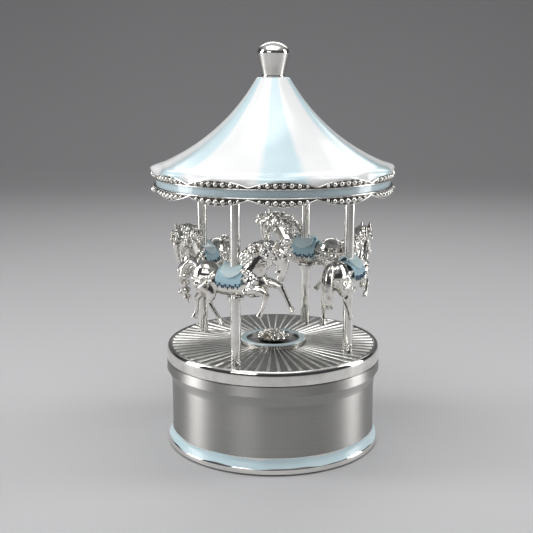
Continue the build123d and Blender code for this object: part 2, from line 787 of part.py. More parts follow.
with BuildPart() as turntable:
    with BuildSketch(Plane.XY.offset(turntable_bottom)):
        Circle(turntable_radius)
    extrude(amount=deck_top - turntable_bottom)
    shoulder = turntable.edges().filter_by(GeomType.CIRCLE).group_by(Axis.Z)[-1]
    fillet(shoulder, rim_round)
    with BuildSketch(Plane.XY.offset(turntable_bottom)):
        Circle(turntable_radius - rim_thickness)
    extrude(amount=deck_bottom - turntable_bottom, mode=Mode.SUBTRACT)
    with BuildSketch(Plane.XY.offset(turntable_bottom)):
        Circle(glide_radius)
        Circle(glide_radius - glide_width, mode=Mode.SUBTRACT)
        Circle(hub_radius)
    extrude(amount=deck_bottom - turntable_bottom)
    with BuildSketch(Plane.XY.offset(pole_boss_bottom)):
        with PolarLocations(pole_ring_radius, pole_count, start_angle=first_pole_angle - 90):
            Circle(pole_boss_radius)
    extrude(amount=deck_bottom - pole_boss_bottom)
    with BuildSketch(Plane.XY.offset(turntable_bottom)):
        Circle(output_radius + shaft_gap)
        Rectangle(
            3 * output_radius, 2 * flat_share * output_radius + 2 * shaft_gap, mode=Mode.INTERSECT
        )
    extrude(amount=deck_bottom - turntable_bottom, mode=Mode.SUBTRACT)
    with Locations(Plane.XY.offset(deck_top)):
        CounterSinkHole(screw_radius + fit_gap, screw_head_radius, counter_sink_angle=90)
        with PolarLocations(pole_ring_radius, pole_count, start_angle=first_pole_angle - 90):
            Hole(pole_radius + fit_gap, depth=deck_top - pole_bottom)
    with Locations(Plane.XY.offset(pole_boss_bottom).rotated((180, 0, 0))):
        with PolarLocations(pole_ring_radius, pole_count, start_angle=90 - first_pole_angle):
            CounterSinkHole(screw_radius + fit_gap, screw_head_radius, counter_sink_angle=90)
    with BuildSketch(Plane.XY.offset(deck_top)):
        with PolarLocations(0, rib_count):
            Polygon(
                (rib_inner, -rib_width / 2 / rib_taper),
                (rib_outer, -rib_width / 2),
                (rib_outer, rib_width / 2),
                (rib_inner, rib_width / 2 / rib_taper),
                align=None,
            )
        with PolarLocations(pole_ring_radius, pole_count, start_angle=first_pole_angle - 90):
            Circle(pole_radius + fit_gap, mode=Mode.SUBTRACT)
    extrude(amount=rib_height)
save(turntable.part, "turntable")

with BuildPart() as hub_screw:
    with Locations(Plane.XY.offset(deck_top)):
        flat_head_screw(hub_screw_length)
save(hub_screw.part, "hub_screw")

with BuildPart() as pole_screws:
    with Locations(Plane.XY.offset(pole_boss_bottom)):
        with PolarLocations(pole_ring_radius, pole_count, start_angle=first_pole_angle - 90):
            flat_head_screw(pole_screw_length, head_up=False)
save(pole_screws.part, "pole_screws")

with BuildPart() as centre_dish:
    with BuildSketch(Plane.XY.offset(deck_top)):
        Circle(dish_radius)
    extrude(amount=dish_height)
    fillet(centre_dish.edges().group_by(Axis.Z)[-1], dish_round)
    with BuildSketch(Plane.XY.offset(deck_top + dish_floor)):
        Circle(dish_radius - dish_band)
    extrude(amount=dish_height - dish_floor, mode=Mode.SUBTRACT)
save(centre_dish.part, "centre_dish")

with BuildPart() as dish_flower:
    with BuildSketch(Plane.XY.offset(deck_top + dish_floor)):
        with PolarLocations(petal_place * flower_radius, petal_count):
            Ellipse(petal_length / 2 * flower_radius, petal_width / 2 * flower_radius)
        Circle(flower_core * flower_radius)
    extrude(amount=flower_height / 2)
    with BuildSketch(Plane.XY.offset(deck_top + dish_floor)):
        Circle(flower_seed * flower_radius)
    extrude(amount=flower_height)
    fillet(dish_flower.edges().group_by(Axis.Z)[-1], petal_round)
save(dish_flower.part, "dish_flower")

# ====================================================================================================
# Poles, horses and saddles, modelled at the axis heading +X and then set out round the deck
# ====================================================================================================
def set_out(piece, number):
    """Moves a piece from the axis out to one of the poles, to face the way that the deck turns."""
    turn = first_pole_angle + number * 360 / pole_count
    return piece.moved(Rot(0, 0, turn) * Pos(0, -pole_ring_radius, 0))


with BuildPart() as pole:
    with BuildSketch(Plane.XY.offset(pole_bottom)):
        Circle(pole_radius)
    extrude(amount=ceiling_height - pole_bottom)
    with Locations(Plane.XY.offset(ceiling_height)):
        Hole(screw_radius + thread_gap, depth=pole_screw_length)
    with Locations(Plane.XY.offset(pole_bottom + pole_screw_length)):
        Hole(screw_radius + thread_gap, depth=pole_screw_length)

with BuildPart() as belly_collars:
    with BuildSketch(Plane.XY.offset(belly_height - horse_collar_height)):
        with PolarLocations(pole_ring_radius, pole_count, start_angle=first_pole_angle - 90):
            Circle(pole_radius + horse_collar_width)
            Circle(pole_radius + fit_gap, mode=Mode.SUBTRACT)
    extrude(amount=horse_collar_height - fit_gap)
save(belly_collars.part, "belly_collars")

# Side outlines of a horse, from the pole's axis and from the belly up
horse_side = Plane(origin=(0, 0, belly_height), x_dir=(1, 0, 0), z_dir=(0, -1, 0))
folded_foreleg = [
    (7.0, 4.4),
    (11.0, 6.9),
    (17.4, 3.8),
    (14.6, -7.6),
    (11.6, -6.2),
    (14.2, 1.0),
    (8.5, 1.2),
]
reaching_foreleg = [
    (7.0, 4.4),
    (12.0, 8.4),
    (20.8, 6.4),
    (26.0, -4.2),
    (23.2, -5.8),
    (18.6, 2.8),
    (9.0, 1.4),
]
forward_hind_leg = [
    (-13.5, 6.4),
    (-12.8, -3.2),
    (-6.2, -hoof_drop),
    (-2.6, 1.4 - hoof_drop),
    (-8.8, -2.8),
    (-5.8, 3.4),
]
backward_hind_leg = [
    (-17.5, 6.4),
    (-21.2, -3.2),
    (-23.6, -hoof_drop),
    (-19.8, -hoof_drop),
    (-18.2, -3.2),
    (-11.5, 2.4),
]
near_legs = (folded_foreleg, forward_hind_leg)
far_legs = (reaching_foreleg, backward_hind_leg)

with BuildPart() as horse:
    with BuildSketch(Plane.YZ.offset(-rump_back)):
        with Locations((0, body_middle)):
            Ellipse(body_width / 2, body_height / 2)
    extrude(amount=rump_back + chest_front)
    with Locations((-rump_back, 0, belly_height + body_height + rump_rise - rump_radius)):
        Sphere(rump_radius, rotation=(0, 90, 0))
    with Locations((chest_front, 0, body_middle + chest_lift)):
        Sphere(chest_radius, rotation=(0, 90, 0))
    with BuildSketch(horse_side):
        with BuildLine():
            throat = Spline((12.6, 5.4), (14.6, 9.4), (14.8, 13.4), (17.6, 15.0))
            face = Polyline(throat @ 1, (18.4, 9.0), (21.0, 8.4), (23.4, 11.8), (25.4, 18.8), (22.6, 23.0))
            crest = Spline(face @ 1, (16.0, crest_rise), (9.6, 22.4), (5.6, 15.0))
            Polyline(crest @ 1, (5.6, 6.9), throat @ 0)
        make_face()
    extrude(amount=neck_width / 2, both=True)
    with BuildSketch(horse_side):
        with BuildLine():
            tail_top = Spline((-15.0, 12.4), (-22.0, 11.8), (-25.8, 3.4), (-24.4, -5.6))
            tail_under = Spline(tail_top @ 1, (-22.4, 1.4), (-20.0, 6.9), (-15.0, 8.4))
            Line(tail_under @ 1, tail_top @ 0)
        make_face()
    extrude(amount=tail_width / 2, both=True)
    for side, legs in ((1, near_legs), (-1, far_legs)):
        with BuildSketch(horse_side.offset(side * leg_spread + leg_width / 2)):
            for leg in legs:
                with BuildLine():
                    Polyline(*leg, close=True)
                make_face()
        extrude(amount=-leg_width)
    with Locations((0, 0, belly_height - horse_collar_height)):
        Cylinder(
            pole_radius + fit_gap,
            crest_rise + horse_collar_height,
            align=(Align.CENTER, Align.CENTER, Align.MIN),
            mode=Mode.SUBTRACT,
        )

saddle_gap = saddle_thickness + fit_gap
with BuildPart() as saddle:
    with BuildSketch(Plane.YZ.offset(-saddle_length / 2)):
        with Locations((0, body_middle)):
            Ellipse(body_width / 2 + saddle_gap, body_height / 2 + saddle_gap)
            Ellipse(body_width / 2 + fit_gap, body_height / 2 + fit_gap, mode=Mode.SUBTRACT)
        with Locations((0, body_middle - saddle_drop)):
            Rectangle(3 * body_width, 3 * body_height, align=(Align.CENTER, Align.MIN), mode=Mode.INTERSECT)
    extrude(amount=saddle_length)
    with Locations((0, 0, body_middle)):
        Cylinder(
            pole_radius + fit_gap,
            body_height,
            align=(Align.CENTER, Align.CENTER, Align.MIN),
            mode=Mode.SUBTRACT,
        )

for number, side_name in enumerate(("front", "right", "back", "left")):
    save(set_out(pole.part, number), f"{side_name}_pole")
    save(set_out(horse.part, number), f"{side_name}_horse")
    save(set_out(saddle.part, number), f"{side_name}_saddle")

# ====================================================================================================
# Canopy
# ====================================================================================================
with BuildPart() as canopy_ceiling:
    with BuildSketch(Plane.XY.offset(ceiling_height)):
        Circle(valance_inner - fit_gap)
        Circle(rod_radius + fit_gap, mode=Mode.SUBTRACT)
        with PolarLocations(pole_ring_radius, pole_count, start_angle=first_pole_angle - 90):
            Circle(screw_radius + fit_gap, mode=Mode.SUBTRACT)
    extrude(amount=plate_thickness)
save(canopy_ceiling.part, "canopy_ceiling")

with BuildPart() as ceiling_screws:
    with Locations(Plane.XY.offset(ceiling_top)):
        with PolarLocations(pole_ring_radius, pole_count, start_angle=first_pole_angle - 90):
            Cylinder(pan_head_radius, screw_head_height, align=(Align.CENTER, Align.CENTER, Align.MIN))
            Cylinder(screw_radius, pole_screw_length, align=(Align.CENTER, Align.CENTER, Align.MAX))
save(ceiling_screws.part, "ceiling_screws")


def scalloped_band(inner, outer, top, lobe_depth):
    """A ring whose lower edge hangs in round lobes, as a face swept out and cut to the ring."""
    half_lobe = outer * sin(pi / lobe_count)
    spare = 3.0  # the lobes and the disc above them are made this much too large and then cut
    with BuildPart(mode=Mode.PRIVATE) as band:
        with BuildSketch(Plane.YZ.offset(inner - spare)):
            with BuildLine():
                straight = Line((-half_lobe, valance_cusp), (half_lobe, valance_cusp))
                SagittaArc(straight @ 0, straight @ 1, -lobe_depth)
            make_face()
        lobe = extrude(amount=outer - inner + 2 * spare, mode=Mode.PRIVATE)
        with PolarLocations(0, lobe_count, start_angle=first_pole_angle - 90):
            add(lobe)
        with BuildSketch(Plane.XY.offset(valance_cusp)):
            Circle(outer + spare)
        extrude(amount=top - valance_cusp)
        with BuildSketch(Plane.XY.offset(valance_cusp - lobe_depth - spare)):
            Circle(outer)
            Circle(inner, mode=Mode.SUBTRACT)
        extrude(amount=top - valance_cusp + lobe_depth + spare, mode=Mode.INTERSECT)
    return band.part


save(scalloped_band(valance_inner, valance_radius, valance_top, scallop_drop), "valance")
trim_inner = valance_radius + fit_gap
save(scalloped_band(trim_inner, trim_radius, valance_cusp + trim_rise, scallop_drop), "lower_bead_trim")

with BuildPart() as upper_bead_trim:
    with BuildSketch(Plane.XY.offset(valance_top - trim_rise)):
        Circle(trim_radius)
        Circle(trim_inner, mode=Mode.SUBTRACT)
    extrude(amount=trim_rise)
save(upper_bead_trim.part, "upper_bead_trim")

with BuildPart() as canopy_roof:
    with BuildSketch(Plane.XZ):
        with BuildLine():
            shoulder_radius = trim_radius - roof_shoulder_in
            shoulder_height = valance_top + roof_shoulder_up
            rod_bore = rod_radius + fit_gap
            inner_shoulder = (shoulder_radius - roof_thickness, shoulder_height - roof_thickness)
            inner_top = (roof_top_radius - roof_thickness, roof_top - roof_thickness)
            shoulder = (shoulder_radius, shoulder_height)
            outer_tent = SagittaArc((roof_top_radius, roof_top), shoulder, -roof_sag)
            outer_rim = SagittaArc(outer_tent @ 1, (trim_radius, valance_top), -roof_rim_bulge)
            under = Line(outer_rim @ 1, (valance_inner, valance_top))
            inner_rim = Line(under @ 1, inner_shoulder)
            inner_tent = SagittaArc(inner_top, inner_rim @ 1, -roof_sag)
            Polyline(inner_tent @ 0, (rod_bore, inner_top[1]), (rod_bore, roof_top), outer_tent @ 0)
        make_face()
    revolve(axis=Axis.Z)
save(canopy_roof.part, "canopy_roof")

rod_bottom = ceiling_height - nut_height
with BuildPart() as tie_rod:
    with BuildSketch(Plane.XY.offset(rod_bottom)):
        Circle(rod_radius)
    extrude(amount=roof_top + rod_grip - rod_bottom)
save(tie_rod.part, "tie_rod")

with BuildPart() as rod_nut:
    with BuildSketch(Plane.XY.offset(rod_bottom)):
        RegularPolygon(nut_radius, 6)
        Circle(rod_radius + thread_gap, mode=Mode.SUBTRACT)
    extrude(amount=nut_height)
save(rod_nut.part, "rod_nut")

with BuildPart() as finial:
    with BuildSketch(Plane.XZ):
        with BuildLine():
            cone_bottom = roof_top + finial_collar
            cone_top = roof_top + finial_cone
            foot = Polyline(
                (0, roof_top),
                (finial_foot_radius + finial_foot_lip, roof_top),
                (finial_foot_radius + finial_foot_lip, cone_bottom),
                (finial_foot_radius, cone_bottom),
                (finial_radius, cone_top),
            )
            dome = TangentArc((0, cone_top + finial_dome), foot @ 1, tangent=(1, 0))
            Line(dome @ 0, foot @ 0)
        make_face()
    revolve(axis=Axis.Z)
    with Locations((0, 0, roof_top)):
        Cylinder(
            rod_radius + thread_gap,
            rod_grip + run_gap,
            align=(Align.CENTER, Align.CENTER, Align.MIN),
            mode=Mode.SUBTRACT,
        )
save(finial.part, "finial")
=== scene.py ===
import bpy
import json
import math
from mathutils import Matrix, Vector


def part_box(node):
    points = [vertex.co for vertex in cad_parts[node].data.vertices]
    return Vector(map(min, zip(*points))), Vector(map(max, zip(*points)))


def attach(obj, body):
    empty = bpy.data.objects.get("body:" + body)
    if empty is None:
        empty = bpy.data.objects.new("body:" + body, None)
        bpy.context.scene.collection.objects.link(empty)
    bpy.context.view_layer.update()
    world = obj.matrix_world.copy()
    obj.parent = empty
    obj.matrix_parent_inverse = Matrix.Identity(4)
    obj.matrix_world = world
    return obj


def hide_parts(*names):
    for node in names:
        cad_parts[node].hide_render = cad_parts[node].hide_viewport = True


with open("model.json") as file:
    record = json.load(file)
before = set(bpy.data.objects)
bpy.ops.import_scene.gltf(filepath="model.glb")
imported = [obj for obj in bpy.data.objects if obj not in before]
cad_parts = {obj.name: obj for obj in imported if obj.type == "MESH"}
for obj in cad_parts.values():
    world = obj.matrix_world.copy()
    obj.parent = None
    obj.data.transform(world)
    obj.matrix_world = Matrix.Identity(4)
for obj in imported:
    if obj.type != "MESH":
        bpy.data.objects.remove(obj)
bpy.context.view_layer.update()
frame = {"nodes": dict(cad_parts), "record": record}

mm = 0.001
nodes = frame["nodes"]
print("frame loaded")


class Sock:   # wraps a socket so that shader maths reads as plain sums
    def __init__(self, graph, socket):
        self.graph, self.socket = graph, socket

    def math(self, operation, *others):
        return self.graph.node("ShaderNodeMath", {"operation": operation}, [self, *others])

    def __add__(self, other):
        return self.math("ADD", other)

    def __radd__(self, other):
        return self.math("ADD", other)

    def __sub__(self, other):
        return self.math("SUBTRACT", other)

    def __rsub__(self, other):
        return (self * -1) + other

    def __mul__(self, other):
        return self.math("MULTIPLY", other)

    def __rmul__(self, other):
        return self.math("MULTIPLY", other)

    def __truediv__(self, other):
        return self.math("DIVIDE", other)

    def __gt__(self, other):
        return self.math("GREATER_THAN", other)


class Graph:   # the nodes of one material, or of a tree that is there already
    def __init__(self, name, tree=None, **constants):
        if tree:
            self.tree = tree
            return
        self.material = bpy.data.materials.new(name)
        self.material.use_nodes = True
        self.tree = self.material.node_tree
        self.shader = self.tree.nodes["Principled BSDF"]
        for socketName, value in constants.items():
            self.shader.inputs[socketName.replace("_", " ")].default_value = value

    def node(self, kind, settings=None, inputs=(), out=0):
        made = self.tree.nodes.new(kind)
        for key, value in (settings or {}).items():
            if key == "stops":
                ramp = made.color_ramp
                while len(ramp.elements) < len(value):
                    ramp.elements.new(0.5)
                for element, (place, tone) in zip(ramp.elements, value):
                    element.position = place
                    element.color = (*tone, 1) if isinstance(tone, tuple) else (tone, tone, tone, 1)
            else:
                setattr(made, key, value)
        pairs = inputs.items() if isinstance(inputs, dict) else enumerate(inputs)
        for key, value in pairs:
            if isinstance(value, Sock):
                self.tree.links.new(value.socket, made.inputs[key])
            else:
                made.inputs[key].default_value = value
        return Sock(self, made.outputs[out])

    def place(self, axis=None):   # object coordinates, in metres
        point = self.node("ShaderNodeTexCoord", out="Object")
        if axis is None:
            return point
        return self.node("ShaderNodeSeparateXYZ", None, [point], out=axis)

    def noise(self, scale, detail=3.0, stretch=(1, 1, 1)):
        spot = self.node("ShaderNodeMapping", None, {"Vector": self.place(), "Scale": stretch})
        return self.node("ShaderNodeTexNoise", None, {"Vector": spot, "Scale": scale, "Detail": detail})

    def ramp(self, value, stops):
        return self.node("ShaderNodeValToRGB", {"stops": stops}, [value])

    def mix(self, factor, first, second):   # of two colours
        return self.node("ShaderNodeMix", {"data_type": "RGBA"}, {0: factor, 6: first, 7: second}, out=2)

    def bump(self, height, strength, distance):
        inputs = {"Height": height, "Strength": strength, "Distance": distance}
        self.set("Normal", self.node("ShaderNodeBump", None, inputs))

    def set(self, name, value):
        self.tree.links.new(value.socket, self.shader.inputs[name])

    def angle(self):   # round the turning axis, from the front towards +X
        return self.place("X").math("ARCTAN2", self.place("Y") * -1)


def rgb(red, green, blue):
    return (red, green, blue, 1)


# materials

finish = {
    "stripeCount": 6, "firstStripe": 4.1,   # degrees from the front
    "stripeShare": 0.42, "stripeEdge": 2.4,   # a higher share is narrower, a lower edge is softer
    "silver": rgb(0.88, 0.87, 0.84), "white": (0.86, 0.865, 0.86), "whiteShade": (0.81, 0.82, 0.82),
    "stripe": (0.62, 0.77, 0.81), "stripeShade": (0.53, 0.7, 0.75),
    "fascia": rgb(0.7, 0.84, 0.89), "blue": rgb(0.72, 0.87, 0.9), "blanket": rgb(0.48, 0.68, 0.76),
    "hemTop": 3.1, "enamelTop": 6.9,   # mm, of the enamel on the foot
}


def makeSilver(name, rough, wear, grain):
    metal = Graph(name, Metallic=1.0, Roughness=rough)
    cloud = metal.noise(220, 4)
    metal.set("Base Color", metal.ramp(cloud, [(0.3, (0.74, 0.72, 0.68)), (0.65, (0.9, 0.89, 0.86))]))
    metal.set("Roughness", cloud * wear + rough)
    metal.bump(metal.noise(grain, 2), 0.08, 0.0001)
    return metal.material


def makeCast():   # polished castings, with patina in random dark patches
    metal = Graph("castSilver", Metallic=1.0)
    patch = metal.noise(260, 4)
    stops = [(0.34, (0.5, 0.46, 0.4)), (0.46, (0.84, 0.82, 0.77)), (0.7, (0.93, 0.92, 0.89))]
    tone = metal.ramp(patch, stops)
    metal.set("Base Color", tone)
    metal.set("Roughness", patch * 0.12 + 0.04)
    metal.bump(metal.noise(900, 3), 0.3, 0.0002)
    return metal.material


def makePatina():   # the dark silver that shows between the pearls
    metal = Graph("darkPatina", Metallic=1.0)
    patch = metal.noise(400, 3)
    metal.set("Base Color", metal.ramp(patch, [(0.3, (0.07, 0.065, 0.06)), (0.7, (0.2, 0.19, 0.17))]))
    metal.set("Roughness", patch * 0.2 + 0.25)
    return metal.material


def makeSatin():   # brushed round the drum, so the grain is long sideways and short upwards
    metal = Graph("satinSteel", Metallic=1.0, Anisotropic=0.85, Anisotropic_Rotation=0.25)
    grain = metal.noise(700, 2, (0.05, 0.05, 9))
    metal.set("Base Color", metal.ramp(grain, [(0.2, (0.4, 0.395, 0.38)), (0.8, (0.48, 0.475, 0.46))]))
    metal.set("Roughness", grain * 0.1 + 0.38)
    metal.bump(grain, 0.1, 0.00008)
    return metal.material


def makeEnamel(name, tone, dark, rough=0.16):
    enamel = Graph(name, Coat_Weight=0.6, Coat_Roughness=0.05)
    cloud = enamel.noise(60, 4)
    enamel.set("Base Color", enamel.ramp(cloud, [(0.25, dark), (0.7, tone[:3])]))
    enamel.set("Roughness", cloud * 0.12 + rough)
    enamel.bump(enamel.noise(180, 2), 0.08, 0.0003)
    return enamel.material


def makeRoofEnamel():   # white panels and pale blue ones by turns
    enamel = Graph("roofEnamel", Coat_Weight=1.0, Coat_Roughness=0.25)
    turned = enamel.angle() - math.radians(finish["firstStripe"])
    wave = (turned * finish["stripeCount"]).math("COSINE")
    wobble = (enamel.noise(70, 3) - 0.5) * 0.35
    edge = (wave + wobble - finish["stripeShare"]) * finish["stripeEdge"] + 0.5
    edge = edge.math("MINIMUM", 1.0).math("MAXIMUM", 0.0)
    cloud = enamel.noise(45, 4)
    white = enamel.ramp(cloud, [(0.3, finish["whiteShade"]), (0.65, finish["white"])])
    blue = enamel.ramp(cloud, [(0.3, finish["stripeShade"]), (0.7, finish["stripe"])])
    enamel.set("Base Color", enamel.mix(edge, white, blue))
    enamel.set("Roughness", cloud * 0.14 + 0.16)
    enamel.bump(enamel.noise(160, 2), 0.06, 0.0003)
    return enamel.material


def makeFoot():   # enamel in the cove, with an edge painted by hand, and silver above and below
    foot = Graph("footFinish")
    turned = foot.angle()
    wave = (turned * 9).math("SINE") * 0.25 + (turned * 23 + 1.3).math("SINE") * 0.12
    level = foot.place("Z") / mm
    above = level > (wave + finish["hemTop"] + 0.1)
    below = (wave * 1.4 + finish["enamelTop"]) > level
    painted = above * below
    cloud = foot.noise(60, 3)
    blue = foot.ramp(cloud, [(0.3, finish["stripeShade"]), (0.7, finish["stripe"])])
    foot.set("Base Color", foot.mix(painted, finish["silver"], blue))
    foot.set("Metallic", 1 - painted)
    foot.set("Roughness", painted * 0.14 + cloud * 0.06 + 0.05)
    return foot.material


def makePlain(name, tone, metallic, rough, scale, strength):
    plain = Graph(name, Metallic=metallic)
    grain = plain.noise(scale, 4)
    dark = tuple(0.7 * part for part in tone)
    plain.set("Base Color", plain.ramp(grain, [(0.3, dark), (0.7, tone)]))
    plain.set("Roughness", grain * 0.2 + rough)
    plain.bump(grain, strength, 0.0002)
    return plain.material


polished = makeSilver("polishedSilver", 0.03, 0.07, 300)
deckSilver = makeSilver("deckSilver", 0.24, 0.14, 700)
cast = makeCast()
satin = makeSatin()
roofEnamel = makeRoofEnamel()
footFinish = makeFoot()
patina = makePatina()
# a darker metal for the flat deck floor between the ribs: the dark reflection the flats show is painted into
# its colour
deckFlatPaintedDark = makePlain("deckFlatPaintedDark", (0.3, 0.3, 0.29), 1.0, 0.22, 400, 0.1)
blueEnamel = makeEnamel("blueEnamel", finish["blue"], (0.62, 0.79, 0.83))
fasciaEnamel = makeEnamel("fasciaEnamel", finish["fascia"], (0.6, 0.76, 0.82))
blanketEnamel = makeEnamel("blanketEnamel", finish["blanket"], (0.38, 0.58, 0.67))
fringeEnamel = makeEnamel("fringeEnamel", rgb(0.03, 0.1, 0.18), (0.02, 0.06, 0.12))
bySlot = {
    "silver_plate": polished, "drum_steel": satin, "blue_enamel": blueEnamel, "white_enamel": roofEnamel,
    "felt": makePlain("feltCloth", (0.02, 0.022, 0.026), 0.0, 0.75, 1500, 0.8),
    "nylon": makePlain("nylon", (0.8, 0.8, 0.76), 0.0, 0.35, 300, 0.1),
    "brass": makePlain("turnedBrass", (0.75, 0.55, 0.25), 1.0, 0.15, 500, 0.15),
    "movement_steel": makePlain("brightSteel", (0.55, 0.56, 0.57), 1.0, 0.14, 500, 0.15),
    "zinc": makePlain("castZinc", (0.5, 0.51, 0.52), 1.0, 0.3, 700, 0.4),
}
for part in frame["record"]["subparts"]:
    mesh = nodes[part["node"]].data
    mesh.materials.clear()
    mesh.materials.append(bySlot[part["material_slot"]])
print("materials made")


# modelling helpers, which do what a hand would do in edit mode

def deselectAll():
    bpy.ops.object.select_all(action="DESELECT")


def pick(piece):
    deselectAll()
    bpy.context.view_layer.objects.active = piece
    piece.select_set(True)


def startEdit(piece):
    pick(piece)
    bpy.ops.object.mode_set(mode="EDIT")
    bpy.ops.mesh.select_all(action="SELECT")


def startSelected(piece):   # edit mode with the selection kept
    pick(piece)
    bpy.ops.object.mode_set(mode="EDIT")
    bpy.ops.mesh.select_mode(type="EDGE")


def endEdit():
    bpy.ops.object.mode_set(mode="OBJECT")


def applyPlace(piece):
    pick(piece)
    bpy.ops.object.transform_apply(location=True, rotation=True, scale=True)


def addModifier(piece, kind, **settings):
    pick(piece)
    modifier = piece.modifiers.new(kind, kind)
    for key, value in settings.items():
        setattr(modifier, key, value)
    bpy.ops.object.modifier_apply(modifier=modifier.name)


def smooth(piece, degrees=35):
    pick(piece)
    bpy.ops.object.shade_smooth_by_angle(angle=math.radians(degrees))


def tidyFaces(piece):
    startEdit(piece)
    bpy.ops.mesh.remove_doubles(threshold=0.000002)
    bpy.ops.mesh.normals_make_consistent(inside=False)
    endEdit()


def lathe(name, rings, steps=192, closed=True):   # a ring of edges, extruded through (radius, height)
    deselectAll()
    radius, height = rings[0]
    bpy.ops.mesh.primitive_circle_add(vertices=steps, radius=radius * mm, location=(0, 0, height * mm))
    piece = bpy.context.object
    piece.name = name
    applyPlace(piece)
    startEdit(piece)
    for (radius, height), (nextRadius, nextHeight) in zip(rings, rings[1:]):
        lift = (0, 0, (nextHeight - height) * mm)
        bpy.ops.mesh.extrude_region_move(TRANSFORM_OT_translate={"value": lift})
        grow = nextRadius / radius
        bpy.ops.transform.resize(value=(grow, grow, 1), center_override=(0, 0, 0))
    bpy.ops.mesh.select_all(action="DESELECT")
    bpy.ops.mesh.select_mode(type="EDGE")
    bpy.ops.mesh.select_non_manifold()
    if closed:
        bpy.ops.mesh.bridge_edge_loops()
    else:
        bpy.ops.mesh.fill_holes(sides=0)
    bpy.ops.mesh.select_mode(type="VERT")
    endEdit()
    tidyFaces(piece)
    return piece


def joinAll(pieces, name):
    deselectAll()
    for piece in pieces:
        piece.select_set(True)
    bpy.context.view_layer.objects.active = pieces[0]
    bpy.ops.object.join()
    pieces[0].name = name
    return pieces[0]


def copyOf(piece, place=(0, 0, 0), turn=(0, 0, 0), size=(1, 1, 1)):
    made = piece.copy()
    made.data = piece.data.copy()
    bpy.context.scene.collection.objects.link(made)
    made.location, made.rotation_euler, made.scale = place, turn, size
    return made


def drop(piece):
    bpy.data.objects.remove(piece, do_unlink=True)


def roundTheAxis(piece, count, name, start=0.0):   # copies of a piece, joined, evenly round the axis
    copies = [copyOf(piece, turn=(0, 0, start + 2 * math.pi * k / count)) for k in range(count)]
    drop(piece)
    made = joinAll(copies, name)
    applyPlace(made)
    return made


def finishPiece(piece, body, slotName, material, *stoodFor):
    if not piece.data.materials:
        piece.data.materials.append(material)
    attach(piece, body)
    if stoodFor:
        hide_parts(*stoodFor)
    return piece


def level(node, top=True):   # a CAD node's lowest or highest point, in mm
    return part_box(node)[1 if top else 0].z / mm


def reach(node):   # a CAD node's radius, in mm
    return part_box(node)[1].x / mm


# base

foot = {"steps": 240, "hemRound": 0.5, "hemTop": 3.0, "coveTop": 7.4, "coveDip": 0.5, "coveRings": 8}


def makeFootRing():
    outer, low = reach("foot_ring"), level("foot_ring", top=False)
    drum = reach("drum_wall") + 0.1
    rings = [(outer - 1.6, low), (outer - foot["hemRound"], low), (outer - 0.12, low + 0.16)]
    rings += [(outer, low + foot["hemRound"]), (outer, foot["hemTop"] - 0.3), (outer - 0.12, foot["hemTop"])]
    for k in range(1, foot["coveRings"] + 1):
        along = k / foot["coveRings"]
        sink = foot["coveDip"] * math.sin(math.pi * along)
        rings.append((outer - 0.12 + (drum - outer + 0.12) * along - sink,
                      foot["hemTop"] + (foot["coveTop"] - foot["hemTop"]) * along))
    rings.append((drum - 0.04, 4.1))
    piece = lathe("footRing", rings, foot["steps"])
    smooth(piece, 40)
    finishPiece(piece, "base", "silver_plate", footFinish, "foot_ring")


wall = {"thickness": 1.2, "beadHeight": 34.5, "beadRadius": 0.3, "coveRings": 8, "coveDip": 0.45}


def makeDrum():
    radius = reach("drum_wall")
    low, high = level("drum_wall", top=False), level("drum_wall")
    inside = radius - wall["thickness"]
    rings = [(inside, low), (radius, low), (radius, low + 6), (radius, high - 6)]
    rings += [(radius, high), (inside, high)]
    piece = lathe("drumWall", rings, 240)
    smooth(piece)
    finishPiece(piece, "base", "drum_steel", satin, "drum_wall")
    top, outer, low = level("collar_ring"), reach("collar_ring"), level("collar_ring", top=False)
    inner, beadHeight = radius + 0.1, wall["beadHeight"]
    rings = [(inner, low)]
    for k in range(1, wall["coveRings"] + 1):
        along = k / wall["coveRings"]
        sink = wall["coveDip"] * math.sin(math.pi * along)
        rings.append((inner + (outer - 0.1 - inner) * along ** 1.4 - sink * (1 - along),
                      low + (beadHeight - low) * along))
    bead = wall["beadRadius"]
    rings += [(outer + 0.12, beadHeight + 0.1), (outer + 0.12, beadHeight + bead)]
    rings += [(outer, beadHeight + 2 * bead), (outer, top - 0.4), (outer - 0.12, top - 0.1)]
    rings += [(outer - 0.4, top), (outer - 4.4, top), (outer - 4.4, top - 0.6), (inner, top - 5)]
    piece = lathe("collarRing", rings, 240)
    smooth(piece, 30)
    finishPiece(piece, "base", "drum_steel", satin, "collar_ring")


makeFootRing()
makeDrum()
print("base made")


# turntable

deck = {
    "lipHeight": 0.5, "lipIn": 1.9, "shoulder": 2.52, "ribs": 60, "ribInner": 15.2, "ribOuter": 45.4,
    "ribWide": 1.7, "ribNarrow": 0.6, "ribHeight": 0.5,
}


